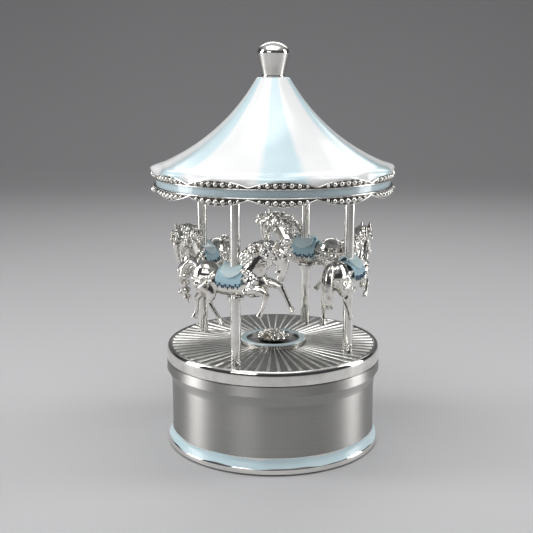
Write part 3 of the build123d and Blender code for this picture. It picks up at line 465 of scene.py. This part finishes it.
def makeTurntable():
    outer, low = reach("turntable"), level("turntable", top=False)
    top = level("centre_dish", top=False)
    high = top + deck["lipHeight"]
    fall = deck["shoulder"]
    rings = [(outer - 2.2, low), (outer - 0.3, low), (outer, low + 0.3), (outer, high - fall)]
    for k in range(1, 9):
        turn = math.pi / 2 * k / 8
        rings.append((outer - 1.1 * (1 - math.cos(turn)), high - fall * (1 - math.sin(turn))))
    rings += [(outer - deck["lipIn"], high), (outer - deck["lipIn"] - 0.3, top), (18, top), (5, top)]
    rings += [(5, top - 1.6), (outer - 2.4, top - 1.6)]
    piece = lathe("turntableShell", rings, 240)
    smooth(piece, 30)
    piece.data.materials.append(polished)
    piece.data.materials.append(deckFlatPaintedDark)
    # the flat deck floor takes the darker metal, a painted dark reflection
    for face in piece.data.polygons:
        flat = face.normal.z > 0.9 and face.center.z < (top + 0.2) * mm
        face.material_index = 1 if flat else 0
    finishPiece(piece, "carousel", "silver_plate", polished, "turntable")

    length = deck["ribOuter"] - deck["ribInner"]
    middle = ((deck["ribInner"] + length / 2) * mm, 0, (top + deck["ribHeight"] / 2) * mm)
    deselectAll()
    bpy.ops.mesh.primitive_cube_add(size=1, location=middle)
    rib = bpy.context.object
    rib.scale = (length * mm, deck["ribWide"] * mm, deck["ribHeight"] * mm)
    applyPlace(rib)
    for vertex in rib.data.vertices:
        near = vertex.co.x < (deck["ribInner"] + 1) * mm
        vertex.co.y *= deck["ribNarrow"] / deck["ribWide"] if near else 1
        vertex.co.y *= 0.3 if vertex.co.z > top * mm + 0.1 * mm else 1
        vertex.co.z -= 0.12 * mm if near and vertex.co.z > top * mm + 0.1 * mm else 0
    addModifier(rib, "BEVEL", width=0.16 * mm, segments=2)
    ribs = roundTheAxis(rib, deck["ribs"], "deckRibs", math.radians(3))
    smooth(ribs, 25)
    finishPiece(ribs, "carousel", "silver_plate", deckSilver)


dish = {
    "steps": 160, "band": 2.9, "floor": 0.8, "petalReach": 4.3, "petalLong": 3.4, "petalWide": 2.5,
    "layers": [(7, 1.0, 1.3, 1.0), (6, 0.72, 2.7, 0.8), (5, 0.4, 3.8, 0.62)],   # count, spread, lift, scale
    "seedAway": 1.05, "seedRadius": 0.62, "seedLift": 4.6,
}


def makeDish():
    outer, low, top = reach("centre_dish"), level("centre_dish", top=False), level("centre_dish")
    rings = [(outer - 0.9, low), (outer - 0.2, low), (outer - 0.3, low + 0.9), (outer, low + 1.1)]
    rings += [(outer, top - 0.5), (outer - 0.7, top - 0.3), (outer - 0.9, low + 0.4)]
    body = lathe("dishWall", rings, dish["steps"])
    smooth(body, 30)
    finishPiece(body, "carousel", "silver_plate", polished)
    rim = [(outer - 0.75, top - 0.5), (outer, top - 0.45), (outer - 0.12, top - 0.12), (outer - 0.5, top)]
    hollow, base = outer - dish["band"], low + dish["floor"]
    rim += [(hollow + 0.4, top), (hollow, top - 0.25), (hollow - 0.2, base)]
    rim += [(4, base), (4, low + 0.1), (outer - 1.2, low + 0.1)]
    enamel = lathe("dishEnamel", rim, dish["steps"])
    smooth(enamel, 30)
    enamel.data.materials.append(blueEnamel)
    enamel.data.materials.append(deckFlatPaintedDark)
    # the hollow's wall and floor take the same darker metal, with its painted dark reflection
    for face in enamel.data.polygons:
        face.material_index = 1 if face.center.z < (top - 0.35) * mm else 0
    finishPiece(enamel, "carousel", "blue_enamel", blueEnamel, "centre_dish")

    parts = []
    for layer, (count, spread, lift, grow) in enumerate(dish["layers"]):
        deselectAll()
        bpy.ops.mesh.primitive_uv_sphere_add(segments=20, ring_count=12, radius=mm)
        petal = bpy.context.object
        petal.scale = (dish["petalLong"] * grow, dish["petalWide"] * grow, 1.3 * grow)
        applyPlace(petal)
        for vertex in petal.data.vertices:
            along = vertex.co.x / (dish["petalLong"] * grow * mm)
            vertex.co.z += (0.9 * along * abs(along) - 0.4 * math.cos(vertex.co.y / mm * 2.6)) * mm * grow
        petal.location = (dish["petalReach"] * spread * mm, 0, (base + lift) * mm)
        applyPlace(petal)
        parts.append(roundTheAxis(petal, count, f"petals{layer}", 0.4 * layer))
    for k in range(9):
        bpy.ops.mesh.primitive_uv_sphere_add(segments=12, ring_count=8, radius=dish["seedRadius"] * mm)
        seed = bpy.context.object
        away = 0 if k == 0 else dish["seedAway"]
        turn, lift = k * 0.785, base + dish["seedLift"] - 0.25 * away
        seed.location = (away * math.cos(turn) * mm, away * math.sin(turn) * mm, lift * mm)
        applyPlace(seed)
        parts.append(seed)
    flower = joinAll(parts, "rosette")
    smooth(flower, 60)
    finishPiece(flower, "carousel", "silver_plate", cast, "dish_flower")


makeTurntable()
makeDish()
print("turntable made")


# canopy

tent = {
    "steps": 288, "sag": 4.5, "tentRings": 22, "flute": 1.0, "lobes": 12, "firstLobe": 4.1,
    "shoulderIn": 4.0, "shoulderUp": 5.0, "arch": 2.6, "hemArch": 2.9, "tipDrop": 1.0, "topRound": 0.35,
    "topRadius": 7.3,
}


def lobeTurn(turn):   # -1 to 1 across one lobe, from an angle measured from the front
    span = 2 * math.pi / tent["lobes"]
    return 2 * (((turn - math.radians(tent["firstLobe"])) / span + 0.5) % 1.0) - 1


def turnOf(point):
    return math.atan2(point.x, -point.y)


def archAt(turn):   # the upper edge of the beading: a round arch on each lobe, a point between two
    return math.cos(math.pi / 2 * lobeTurn(turn)) ** 0.8


def makeRoof():
    top, low = level("canopy_roof"), level("canopy_roof", top=False)
    topRadius, topRound, widest = tent["topRadius"], tent["topRound"], reach("canopy_roof")
    endRadius, endHeight = widest - tent["shoulderIn"], low + tent["shoulderUp"]
    dx, dz = endRadius - topRadius, endHeight - top
    chord = math.hypot(dx, dz)
    rings = [(2.0, top - 1.2), (2.0, top), (topRadius - topRound, top), (topRadius, top - topRound)]
    for k in range(1, tent["tentRings"] + 1):
        along = k / tent["tentRings"]
        dip = 4 * tent["sag"] * along * (1 - along)
        rings.append((topRadius + dx * along + dip * dz / chord,
                      top - topRound + (dz + topRound) * along - dip * dx / chord))
    for k in range(1, 8):
        turn = math.pi / 2 * k / 7
        rings.append((endRadius + tent["shoulderIn"] * math.sin(turn) ** 0.9,
                      low + 0.4 + (tent["shoulderUp"] - 0.4) * math.cos(turn) ** 0.9))
    rings += [(widest, low + 0.3), (widest - 0.2, low - 0.1), (widest - 0.8, low - 0.2)]
    rings += [(widest - 1.5, low + 0.2), (widest - 2.2, low + 3.0), (endRadius - 2, endHeight - 0.9)]
    for k in (16, 10, 5):
        rings.append((rings[3 + k][0] - 0.9, rings[3 + k][1] - 0.9))
    roof = lathe("canopyRoof", rings, tent["steps"])
    for vertex in roof.data.vertices:
        radius = math.hypot(vertex.co.x, vertex.co.y) / mm
        turn, height = turnOf(vertex.co), vertex.co.z / mm
        fade = max(0.0, (radius - 14) / (widest - 14)) ** 1.6
        grow = 1 + tent["flute"] * fade * (math.cos(math.pi * lobeTurn(turn)) - 0.4) / max(radius, 1)
        vertex.co.x *= grow
        vertex.co.y *= grow
        hem = max(0.0, min(1.0, (low + 4.5 - height) / 4.5)) if radius > widest - 3 else 0.0
        vertex.co.z += (tent["hemArch"] * archAt(turn) - tent["tipDrop"] * (1 - archAt(turn))) * hem * mm
    smooth(roof, 50)
    finishPiece(roof, "carousel", "white_enamel", roofEnamel, "canopy_roof")


valance = {
    "outer": 51.2, "inner": 50.0, "beadRadius": 52.3, "lobeDeep": 2.7, "edgeDeep": 2.9,
    "pearls": 7, "biggest": 1.22, "smallest": 0.62, "wire": 0.3,
}


def fasciaBand():
    low, high = level("valance", top=False), level("valance")
    cusp = low + valance["lobeDeep"]
    outer, inner = valance["outer"], valance["inner"]
    rings = [(inner, low), (outer, low), (outer, cusp), (outer, cusp + 2), (outer, high + 0.6)]
    rings += [(inner, high + 0.6), (inner, cusp)]
    band = lathe("fasciaBand", rings, tent["steps"])
    for vertex in band.data.vertices:
        if vertex.co.z / mm < cusp - 0.1:
            vertex.co.z += valance["lobeDeep"] * (1 - archAt(turnOf(vertex.co))) * mm
    smooth(band, 40)
    finishPiece(band, "carousel", "blue_enamel", fasciaEnamel, "valance")


def edgeWire(name, radius, height, swing):   # a thin rolled edge; swing lifts it along each lobe
    deselectAll()
    bpy.ops.mesh.primitive_torus_add(
        major_segments=tent["steps"], minor_segments=8, major_radius=radius * mm,
        minor_radius=valance["wire"] * mm, location=(0, 0, height * mm))
    wire = bpy.context.object
    wire.name = name
    applyPlace(wire)
    wire.data.materials.append(polished)
    for vertex in wire.data.vertices:
        vertex.co.z += swing * archAt(turnOf(vertex.co)) * mm
    return wire


def pearlRow(level0, swing, outward, sign):   # graded pearls that fill a crescent on each lobe
    row = []
    half = math.radians(180 / tent["lobes"])
    for k in range(valance["pearls"]):
        across = 2 * (k + 0.5) / valance["pearls"] - 1
        smallest, biggest = valance["smallest"], valance["biggest"]
        size = smallest + (biggest - smallest) * math.cos(math.pi / 2 * across)
        turn = math.radians(tent["firstLobe"]) + across * half * 0.8
        middle = level0 + sign * (swing * archAt(turn) * 0.5)
        for spread, share in ((0.0, 1.0), (0.5, 0.34), (-0.5, 0.34)):
            lean = turn + spread * half * 1.6 / valance["pearls"]
            deselectAll()
            if share == 1.0:
                bpy.ops.mesh.primitive_uv_sphere_add(segments=12, ring_count=8, radius=size * share * mm)
            else:
                bpy.ops.mesh.primitive_ico_sphere_add(subdivisions=1, radius=size * share * mm)
            pearl = bpy.context.object
            rise = 0 if share == 1.0 else sign * 0.3 * size
            radius = outward if share == 1.0 else outward + 0.1
            pearl.location = (radius * math.sin(lean) * mm, -radius * math.cos(lean) * mm,
                              (middle + rise) * mm)
            applyPlace(pearl)
            row.append(pearl)
    return joinAll(row, "pearlRow")


def plateBand(name, inner, outer, low, high):   # the dark strip behind the pearls
    return lathe(name, [(inner, low), (outer, low), (outer, high), (inner, high)], tent["steps"])


def finishTrim(name, node, plate, pearls, wires):
    plate.data.materials.append(patina)
    pearls.data.materials.append(polished)
    trim = joinAll([plate, pearls, *wires], name)
    smooth(trim, 60)
    finishPiece(trim, "carousel", "silver_plate", polished, node)


def makeBeading():
    low, high = level("valance", top=False), level("valance")
    radius, arch, deep = valance["beadRadius"], tent["arch"], valance["lobeDeep"]
    cusp = low + deep
    pearls = roundTheAxis(pearlRow(high, arch, radius, 1), tent["lobes"], "upperPearls")
    wires = [edgeWire("upperArch", radius + 0.2, high + 0.1, arch),
             edgeWire("upperSill", radius - 0.1, high - 0.4, 0)]
    plate = plateBand("upperPlate", radius - 1.4, radius - 0.2, high - 0.5, high)
    for vertex in plate.data.vertices:
        if vertex.co.z / mm > high - 0.1:
            vertex.co.z += arch * archAt(turnOf(vertex.co)) * mm
    finishTrim("upperBeading", "upper_bead_trim", plate, pearls, wires)

    pearls = roundTheAxis(pearlRow(cusp, deep, radius, -1), tent["lobes"], "lowerPearls")
    wires = [edgeWire("lowerEdge", radius, cusp + 0.1, -valance["edgeDeep"]),
             edgeWire("lowerSill", radius - 0.1, cusp + 0.5, 0)]
    plate = plateBand("lowerPlate", radius - 1.3, radius - 0.2, cusp, cusp + 0.6)
    for vertex in plate.data.vertices:
        if vertex.co.z / mm < cusp + 0.1:
            vertex.co.z -= deep * archAt(turnOf(vertex.co)) * mm
    finishTrim("lowerBeading", "lower_bead_trim", plate, pearls, wires)


finialKnob = {"dome": 4.8, "steps": 96}


def makeFinial():
    low, high, radius = level("finial", top=False), level("finial"), reach("finial")
    dome = finialKnob["dome"]
    edge = high - dome
    rings = [(4.6, low), (5.2, low + 0.05), (5.3, low + 0.4), (5.2, low + 0.75)]
    rings += [(4.9, low + 0.9), (4.95, low + 1.2)]
    rings += [(radius - 0.05, edge - 0.15), (radius, edge)]
    for k in range(1, 13):
        turn = math.pi / 2 * k / 12
        rings.append((max(radius * math.cos(turn), 0.12), edge + dome * math.sin(turn) ** 1.05))
    finial = lathe("finialKnob", rings, finialKnob["steps"], closed=False)
    smooth(finial, 28)
    finishPiece(finial, "carousel", "silver_plate", polished, "finial")


makeRoof()
fasciaBand()
makeBeading()
makeFinial()
print("canopy made")


# horses, modelled once in millimetres, heading along +X from the pole, then set out round the deck

pony = {
    "voxel": 0.29, "settle": 2, "flatten": 0.86,
    "rump": ((-13.6, 0, 81.4), (6.8, 5.0, 6.5)), "shoulder": ((9.2, 0, 80.2), (5.4, 4.7, 5.9)),
    "fan": ((11.6, 0, 91.6), (9.2, 2.5, 5.6), -0.38),   # the mane, tilted along the crest
    "rimKnobs": 13, "knob": 1.05, "curl": 1.75, "strap": 0.42,
}


def limb(points, flatten=1.0):   # a tapering bar through (x, y, z, radius)
    deselectAll()
    bpy.ops.curve.primitive_bezier_curve_add(radius=1)
    made = bpy.context.object
    made.data.splines[0].bezier_points.add(len(points) - 2)
    for point, (x, y, z, radius) in zip(made.data.splines[0].bezier_points, points):
        point.co = (x, y, z)
        point.handle_left_type = point.handle_right_type = "AUTO"
        point.radius = radius
    made.data.bevel_depth = 1
    made.data.bevel_resolution = 3
    made.data.resolution_u = 5
    made.data.use_fill_caps = True
    bpy.ops.object.convert(target="MESH")
    made = bpy.context.object
    made.scale = (1, flatten, 1)
    applyPlace(made)
    return made


def ball(place, size, turn=(0, 0, 0), steps=20):
    deselectAll()
    bpy.ops.mesh.primitive_uv_sphere_add(segments=steps, ring_count=steps // 2, radius=1,
                                         location=place, rotation=turn)
    made = bpy.context.object
    made.scale = size if isinstance(size, tuple) else (size, size, size)
    applyPlace(made)
    return made


def curl(x, y, z, radius, start, hand=1, thick=0.55, turns=1.35):   # a lock of hair, rolled up
    points = []
    for k in range(12):
        along = k / 11
        turn = start + hand * turns * 2 * math.pi * along
        away = radius * (1 - 0.86 * along)
        lift = y + math.copysign(0.55 * along, y)
        rolled = (x + away * math.cos(turn), lift, z + away * math.sin(turn))
        points.append((*rolled, thick * (1 - 0.35 * along)))
    return limb(points)


def beadsAlong(start, end, count, size, bulge=(0, 0, 0)):
    beads = []
    for k in range(count):
        along = k / (count - 1)
        sway = math.sin(math.pi * along)
        place = [a + (b - a) * along + c * sway for a, b, c in zip(start, end, bulge)]
        beads.append(ball(tuple(place), size, steps=8))
    return beads


def horseBody():
    flat = pony["flatten"]
    return [
        limb([(-14, 0, 81, 5.4), (-7, 0, 79.6, 5.5), (2, 0, 79.5, 5.5), (9, 0, 80.6, 5.7)], flat),
        ball(*pony["rump"]), ball(*pony["shoulder"]),
        ball((-13.2, -2.7, 78.0), (4.3, 2.5, 5.4)), ball((-14.6, 2.7, 78.0), (4.3, 2.5, 5.4)),
        ball((8.8, -2.5, 79.6), (3.6, 2.6, 5.0)), ball((9.6, 2.5, 79.6), (3.6, 2.6, 5.0)),
        limb([(7, 0, 81, 5.6), (9.6, 0, 86, 4.9), (13, 0, 91, 4.1), (17.2, 0, 94, 3.2),
              (20, 0, 94.6, 2.6)], 0.8),
    ]


def horseHead():
    parts = [
        limb([(18.6, 0, 95, 2.7), (21.3, 0, 91.8, 3.0), (21.9, 0, 88.2, 2.3), (21.0, 0, 84.8, 1.7),
              (20.6, 0, 83.3, 1.75)], 0.84),
        ball((19.6, 0, 91.0), (2.6, 2.5, 3.2)), ball((20.3, 0, 82.9), (1.7, 1.45, 1.2)),
    ]
    for side in (-1, 1):
        parts.append(limb([(19.4, side * 1.5, 96.4, 1.1), (19.9, side * 1.9, 98.3, 0.75),
                           (20.6, side * 1.7, 99.6, 0.15)]))
        parts.append(ball((22.6, side * 2.05, 91.9), 0.62, steps=12))
        parts.append(limb([(21.6, side * 2.2, 92.9, 0.3), (22.7, side * 2.2, 92.9, 0.34),
                           (23.6, side * 1.7, 92.2, 0.25)]))
        parts.append(ball((21.7, side * 0.95, 83.4), 0.4, steps=8))
        parts += beadsAlong((18.2, side * 2.2, 94.8), (20.6, side * 1.9, 85.6), 8, pony["strap"])
        parts += beadsAlong((19.3, side * 1.6, 85.4), (22.9, side * 1.1, 86.6), 5, pony["strap"])
        parts += beadsAlong((19.6, side * 2.4, 94.4), (24.0, side * 0.7, 93.6), 5, 0.5)
        parts.append(ball((20.1, side * 2.45, 86.2), (0.9, 0.5, 0.9), steps=12))
        parts.append(curl(23.9, side * 0.9, 95.2, 1.5, 2.4, -1, 0.55))
        parts.append(curl(25.1, side * 0.6, 92.9, 1.1, 1.9, -1, 0.5))
    parts += beadsAlong((23.9, 0, 93.2), (23.4, 0, 87.2), 6, 0.5, (0.35, 0, 0))
    return parts


def horseMane():
    (cx, cy, cz), (rx, ry, rz), tilt = pony["fan"]
    parts = [ball((cx, cy, cz), (rx, ry, rz), (0, tilt, 0), 32)]

    def onFan(turn, share):   # a place on the fan, share of the way out from its middle
        x, z = rx * share * math.cos(turn), rz * share * math.sin(turn)
        return cx + x * math.cos(tilt) + z * math.sin(tilt), cz - x * math.sin(tilt) + z * math.cos(tilt)

    for k in range(pony["rimKnobs"]):
        turn = math.radians(-8 + 196 * k / (pony["rimKnobs"] - 1))
        x, z = onFan(turn, 0.97)
        for side in (-1, 1):
            parts.append(ball((x, side * 0.75, z), pony["knob"] * (0.85 + 0.25 * (k % 2)), steps=12))
    for share, count, low, high, width in ((0.78, 8, -20, 188, 1.7), (0.42, 6, -70, 200, 2.5)):
        for k in range(count):
            turn = math.radians(low + (high - low) * k / (count - 1))
            x, z = onFan(turn, share)
            for side in (-1, 1):
                roll = pony["curl"] * (1.05 - 0.1 * (k % 2))
                parts.append(curl(x, side * width, z, roll, turn + 1.2, 1 if k % 2 else -1))
    for k in range(5):
        x, z = 5.6 + 1.5 * k, 85.6 - 0.9 * k
        for side in (-1, 1):
            parts.append(curl(x, side * (3.6 + 0.15 * k), z, 1.35, 0.8 * k, -1, 0.5))
    return parts


def horseLegs():
    return [
        limb([(8.5, -2.8, 78.5, 3.0), (12.0, -3.0, 78.2, 2.1), (15.9, -3.0, 76.6, 1.35)]),
        limb([(16.0, -3.0, 77.0, 1.4), (15.0, -3.0, 73.6, 0.95), (13.6, -3.0, 69.6, 0.9),
              (13.1, -3.0, 68.4, 1.05)]),
        limb([(13.2, -3.0, 68.9, 0.95), (12.4, -3.0, 67.0, 1.5)]),
        limb([(9.0, 2.8, 79.4, 3.0), (14.0, 2.9, 80.4, 2.1), (19.4, 2.9, 79.2, 1.4)]),
        limb([(19.3, 2.9, 79.5, 1.45), (21.4, 2.9, 75.6, 1.0), (23.6, 2.9, 71.4, 0.9),
              (24.0, 2.9, 70.6, 1.05)]),
        limb([(23.9, 2.9, 71.0, 0.95), (25.0, 2.9, 69.0, 1.5)]),
        limb([(-13.0, -2.9, 78.0, 3.6), (-10.0, -3.1, 74.4, 2.4), (-11.4, -3.1, 70.8, 1.35)]),
        limb([(-11.5, -3.1, 71.2, 1.4), (-8.6, -3.1, 67.4, 0.95), (-6.0, -3.1, 64.0, 0.95),
              (-5.4, -3.1, 63.3, 1.1)]),
        limb([(-5.7, -3.1, 63.7, 1.0), (-4.4, -3.1, 61.5, 1.55)]),
        limb([(-15.4, 2.9, 78.0, 3.4), (-17.0, 3.0, 74.0, 2.3), (-20.0, 3.0, 70.6, 1.3)]),
        limb([(-20.0, 3.0, 71.0, 1.35), (-20.3, 3.0, 67.0, 0.95), (-20.7, 3.0, 64.2, 0.95),
              (-20.9, 3.0, 63.4, 1.1)]),
        limb([(-20.8, 3.0, 63.8, 1.0), (-21.6, 3.0, 61.5, 1.55)]),
    ]


def horseTail():
    parts = []
    for offset, thick in ((0, 1.9), (-1.1, 1.25), (1.1, 1.25)):
        parts.append(limb([
            (-18.2, offset * 0.3, 85.2, thick * 0.7), (-21.6, offset * 0.7, 86.2, thick),
            (-24.4, offset, 82.4, thick), (-25.0, offset, 77.2, thick * 0.95),
            (-23.8 - 0.5 * offset, offset * 1.1, 72.2, thick * 0.8),
            (-22.4 - 0.8 * offset, offset * 1.2, 68.6, 0.35)]))
    for k in range(5):
        for side in (-1, 1):
            hand = -1 if k % 2 else 1
            x, z, roll = -24.2 + 0.25 * k, 83.2 - 3.1 * k, 1.25 - 0.1 * k
            parts.append(curl(x, side * 1.5, z, roll, 1.2 * k, hand, 0.5))
    return parts


def horseTrappings():   # breast collar, breeching and the rosettes where they meet
    parts = []
    for side in (-1, 1):
        parts += beadsAlong((5.4, side * 4.7, 82.6), (14.2, side * 1.3, 78.0), 9, 0.55,
                            (0.9, side * 0.9, -0.6))
        parts += beadsAlong((-7.0, side * 4.6, 82.6), (-19.6, side * 2.6, 80.0), 11, 0.5,
                            (0, side * 1.1, -0.5))
        parts += beadsAlong((-13.4, side * 4.9, 80.8), (-15.8, side * 1.0, 87.4), 7, 0.45,
                            (0, side * 0.7, 0.5))
        parts.append(ball((-13.2, side * 5.05, 80.6), (1.25, 0.6, 1.25), steps=12))
        parts.append(ball((9.8, side * 4.95, 80.4), (1.25, 0.6, 1.25), steps=12))
        parts.append(curl(-10.6, side * 4.9, 78.6, 1.5, 0.5, 1, 0.5))
        parts.append(curl(-16.2, side * 4.4, 77.6, 1.5, 2.5, -1, 0.5))
        parts.append(curl(12.4, side * 3.9, 77.2, 1.4, 1.0, 1, 0.5))
        parts.append(curl(7.2, side * 4.9, 76.8, 1.4, 3.0, -1, 0.5))
    for k in range(4):
        parts.append(ball((14.4 - 0.5 * k, 0, 79.8 - 1.5 * k), 0.85 - 0.1 * k, steps=12))
    return parts


def carveHorse():
    parts = horseBody() + horseHead() + horseMane() + horseLegs() + horseTail() + horseTrappings()
    made = joinAll(parts, "horse")
    addModifier(made, "REMESH", mode="VOXEL", voxel_size=pony["voxel"], use_smooth_shade=True)
    addModifier(made, "SMOOTH", factor=0.5, iterations=pony["settle"])
    made.scale = (mm, mm, mm)
    applyPlace(made)
    return made


# saddles: a blanket over the back, a seat on it and a beaded fringe, in millimetres like the horses

saddle = {
    "middle": 79.5, "halfWide": 4.9, "halfHigh": 5.9,
    "blanketBack": -6.6, "blanketFront": 5.2, "blanketDrop": 100, "blanketGap": 0.25, "blanketThick": 0.55,
    "seatBack": -4.9, "seatFront": 4.3, "seatDrop": 64, "seatGap": 0.8, "seatThick": 0.75,
    "lobes": 5, "beads": 13, "beadGap": 0.95,
}


def drape(kind, shape):   # a cloth laid over the back, whose drop is in degrees from the top
    back, front, fullDrop = saddle[kind + "Back"], saddle[kind + "Front"], saddle[kind + "Drop"]
    outward = saddle[kind + "Gap"]
    deselectAll()
    bpy.ops.mesh.primitive_grid_add(x_subdivisions=24, y_subdivisions=28, size=2)
    cloth = bpy.context.object
    cloth.name = kind
    for vertex in cloth.data.vertices:
        along, across = vertex.co.x, vertex.co.y
        x = back + (front - back) * (along + 1) / 2
        fall, rise = shape(along, across)
        turn = math.radians(fullDrop) * across * fall
        vertex.co = (x, (saddle["halfWide"] + outward) * math.sin(turn),
                     saddle["middle"] + (saddle["halfHigh"] + outward) * math.cos(turn) + rise)
    addModifier(cloth, "SOLIDIFY", thickness=saddle[kind + "Thick"], offset=1)
    addModifier(cloth, "BEVEL", width=0.12, segments=2, angle_limit=math.radians(50))
    return cloth


def blanketShape(along, across):
    wave = 1 + 0.05 * math.cos(math.pi * saddle["lobes"] * along) - 0.08 * along * along
    return wave, 0.0


def seatShape(along, across):   # pommel and cantle rise at the ends, and the flap rounds off
    top = max(0.0, 1 - abs(across) * 1.6)
    return 1 - 0.34 * along * along, 1.5 * top * abs(along) ** 3 + 0.5 * top


def makeSaddle():
    blanket, seat = drape("blanket", blanketShape), drape("seat", seatShape)
    back, front = saddle["blanketBack"], saddle["blanketFront"]
    wide, high = saddle["halfWide"] + saddle["beadGap"], saddle["halfHigh"] + saddle["beadGap"]
    fringe = []
    for k in range(saddle["beads"]):
        along = -0.94 + 1.88 * k / (saddle["beads"] - 1)
        x = back + (front - back) * (along + 1) / 2
        turn = math.radians(saddle["blanketDrop"] - 7) * blanketShape(along, 1)[0]
        for side in (-1, 1):
            y, z = side * wide * math.sin(turn), saddle["middle"] + high * math.cos(turn)
            fringe.append(ball((x, y, z), 0.46, steps=10))
            fringe.append(ball((x, y * 0.985, z - 0.75), 0.3, steps=8))
    tassels = joinAll(fringe, "fringe")
    for part, material in ((seat, blueEnamel), (blanket, blanketEnamel), (tassels, fringeEnamel)):
        part.data.materials.append(material)
    made = joinAll([seat, blanket, tassels], "saddle")
    made.scale = (mm, mm, mm)
    applyPlace(made)
    smooth(made, 50)
    return made


def setOut():
    model, leather = carveHorse(), makeSaddle()
    kinds = [(model, "horse", "silver_plate", cast), (leather, "saddle", "blue_enamel", blueEnamel)]
    for sideName in ("front", "right", "back", "left"):
        low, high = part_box(f"{sideName}_pole")
        middle = (low + high) / 2
        turn = turnOf(middle)
        for source, kind, slotName, material in kinds:
            made = copyOf(source, (middle.x, middle.y, 0), (0, 0, turn))
            applyPlace(made)
            made.name = f"{sideName}{kind.capitalize()}"
            finishPiece(made, "carousel", slotName, material, f"{sideName}_{kind}")
    print("horse faces", len(model.data.polygons))
    drop(model)
    drop(leather)


setOut()
print("horses made")


# studio

studio = {
    "lens": 65.64, "cameraPlace": (-0.0029, -0.4259, 0.16875), "cameraPitch": 78.17, "floorSize": 3.0,
    "floorTone": (0.45, 0.45, 0.455), "worldTone": (0.05, 0.051, 0.055), "skyTone": (0.55, 0.55, 0.56),
    "middle": (0, 0, 0.09),
}
lamps = {   # place, what it points at, width, height, watts
    "leftBox": ((-0.62, 0.0, 0.26), studio["middle"], 0.22, 0.6, 2.4),
    "rightBox": ((0.62, 0.06, 0.26), studio["middle"], 0.22, 0.6, 2.2),
    "topBox": ((-0.02, -0.12, 0.58), (0, -0.02, 0.1), 0.5, 0.36, 1.7),
    "frontBox": ((-0.42, -0.7, 0.4), studio["middle"], 0.4, 0.3, 0.9),
    "backBox": ((0.05, 0.62, 0.55), studio["middle"], 0.7, 0.3, 1.3),
}


def addLamp(name, place, target, size, sizeY, power):
    deselectAll()
    bpy.ops.object.light_add(type="AREA", location=place)
    lamp = bpy.context.object
    lamp.name = name
    lamp.data.shape = "RECTANGLE"
    lamp.data.size, lamp.data.size_y, lamp.data.energy = size, sizeY, power
    lamp.visible_camera = False
    lamp.rotation_euler = (Vector(target) - Vector(place)).to_track_quat("-Z", "Y").to_euler()


def makeStudio():
    deselectAll()
    tilt = math.radians(studio["cameraPitch"])
    bpy.ops.object.camera_add(location=studio["cameraPlace"], rotation=(tilt, 0, 0))
    camera = bpy.context.object
    camera.data.lens = studio["lens"]
    camera.data.clip_start, camera.data.clip_end = 0.01, 20
    bpy.context.scene.camera = camera

    bpy.ops.mesh.primitive_plane_add(size=studio["floorSize"])
    floor = bpy.context.object
    floor.name = "studioFloor"
    startEdit(floor)
    bpy.ops.mesh.select_all(action="DESELECT")
    endEdit()
    for edge in floor.data.edges:
        edge.select = all(floor.data.vertices[v].co.y > 0 for v in edge.vertices)
    startSelected(floor)
    bpy.ops.mesh.extrude_region_move(TRANSFORM_OT_translate={"value": (0, 0, studio["floorSize"] / 2)})
    endEdit()
    addModifier(floor, "BEVEL", width=0.6, segments=12, limit_method="ANGLE")
    smooth(floor, 60)
    paper = Graph("studioPaper", Roughness=0.6)
    tone = studio["floorTone"]
    stops = [(0.3, tone), (0.7, tuple(1.03 * part for part in tone))]
    paper.set("Base Color", paper.ramp(paper.noise(3, 2), stops))
    floor.data.materials.append(paper.material)

    for name, settings in lamps.items():
        addLamp(name, *settings)
    world = bpy.data.worlds.new("studioWorld")
    bpy.context.scene.world = world
    bpy.context.scene.view_settings.view_transform = "Standard"
    world.use_nodes = True
    sky = Graph("sky", world.node_tree)
    height = sky.node("ShaderNodeSeparateXYZ", None, [sky.node("ShaderNodeTexCoord", out="Generated")], out=2)
    tone = sky.ramp(height, [(0.45, studio["worldTone"]), (0.85, studio["skyTone"])])
    sky.tree.links.new(tone.socket, sky.tree.nodes["Background"].inputs["Color"])


makeStudio()
print("studio made")
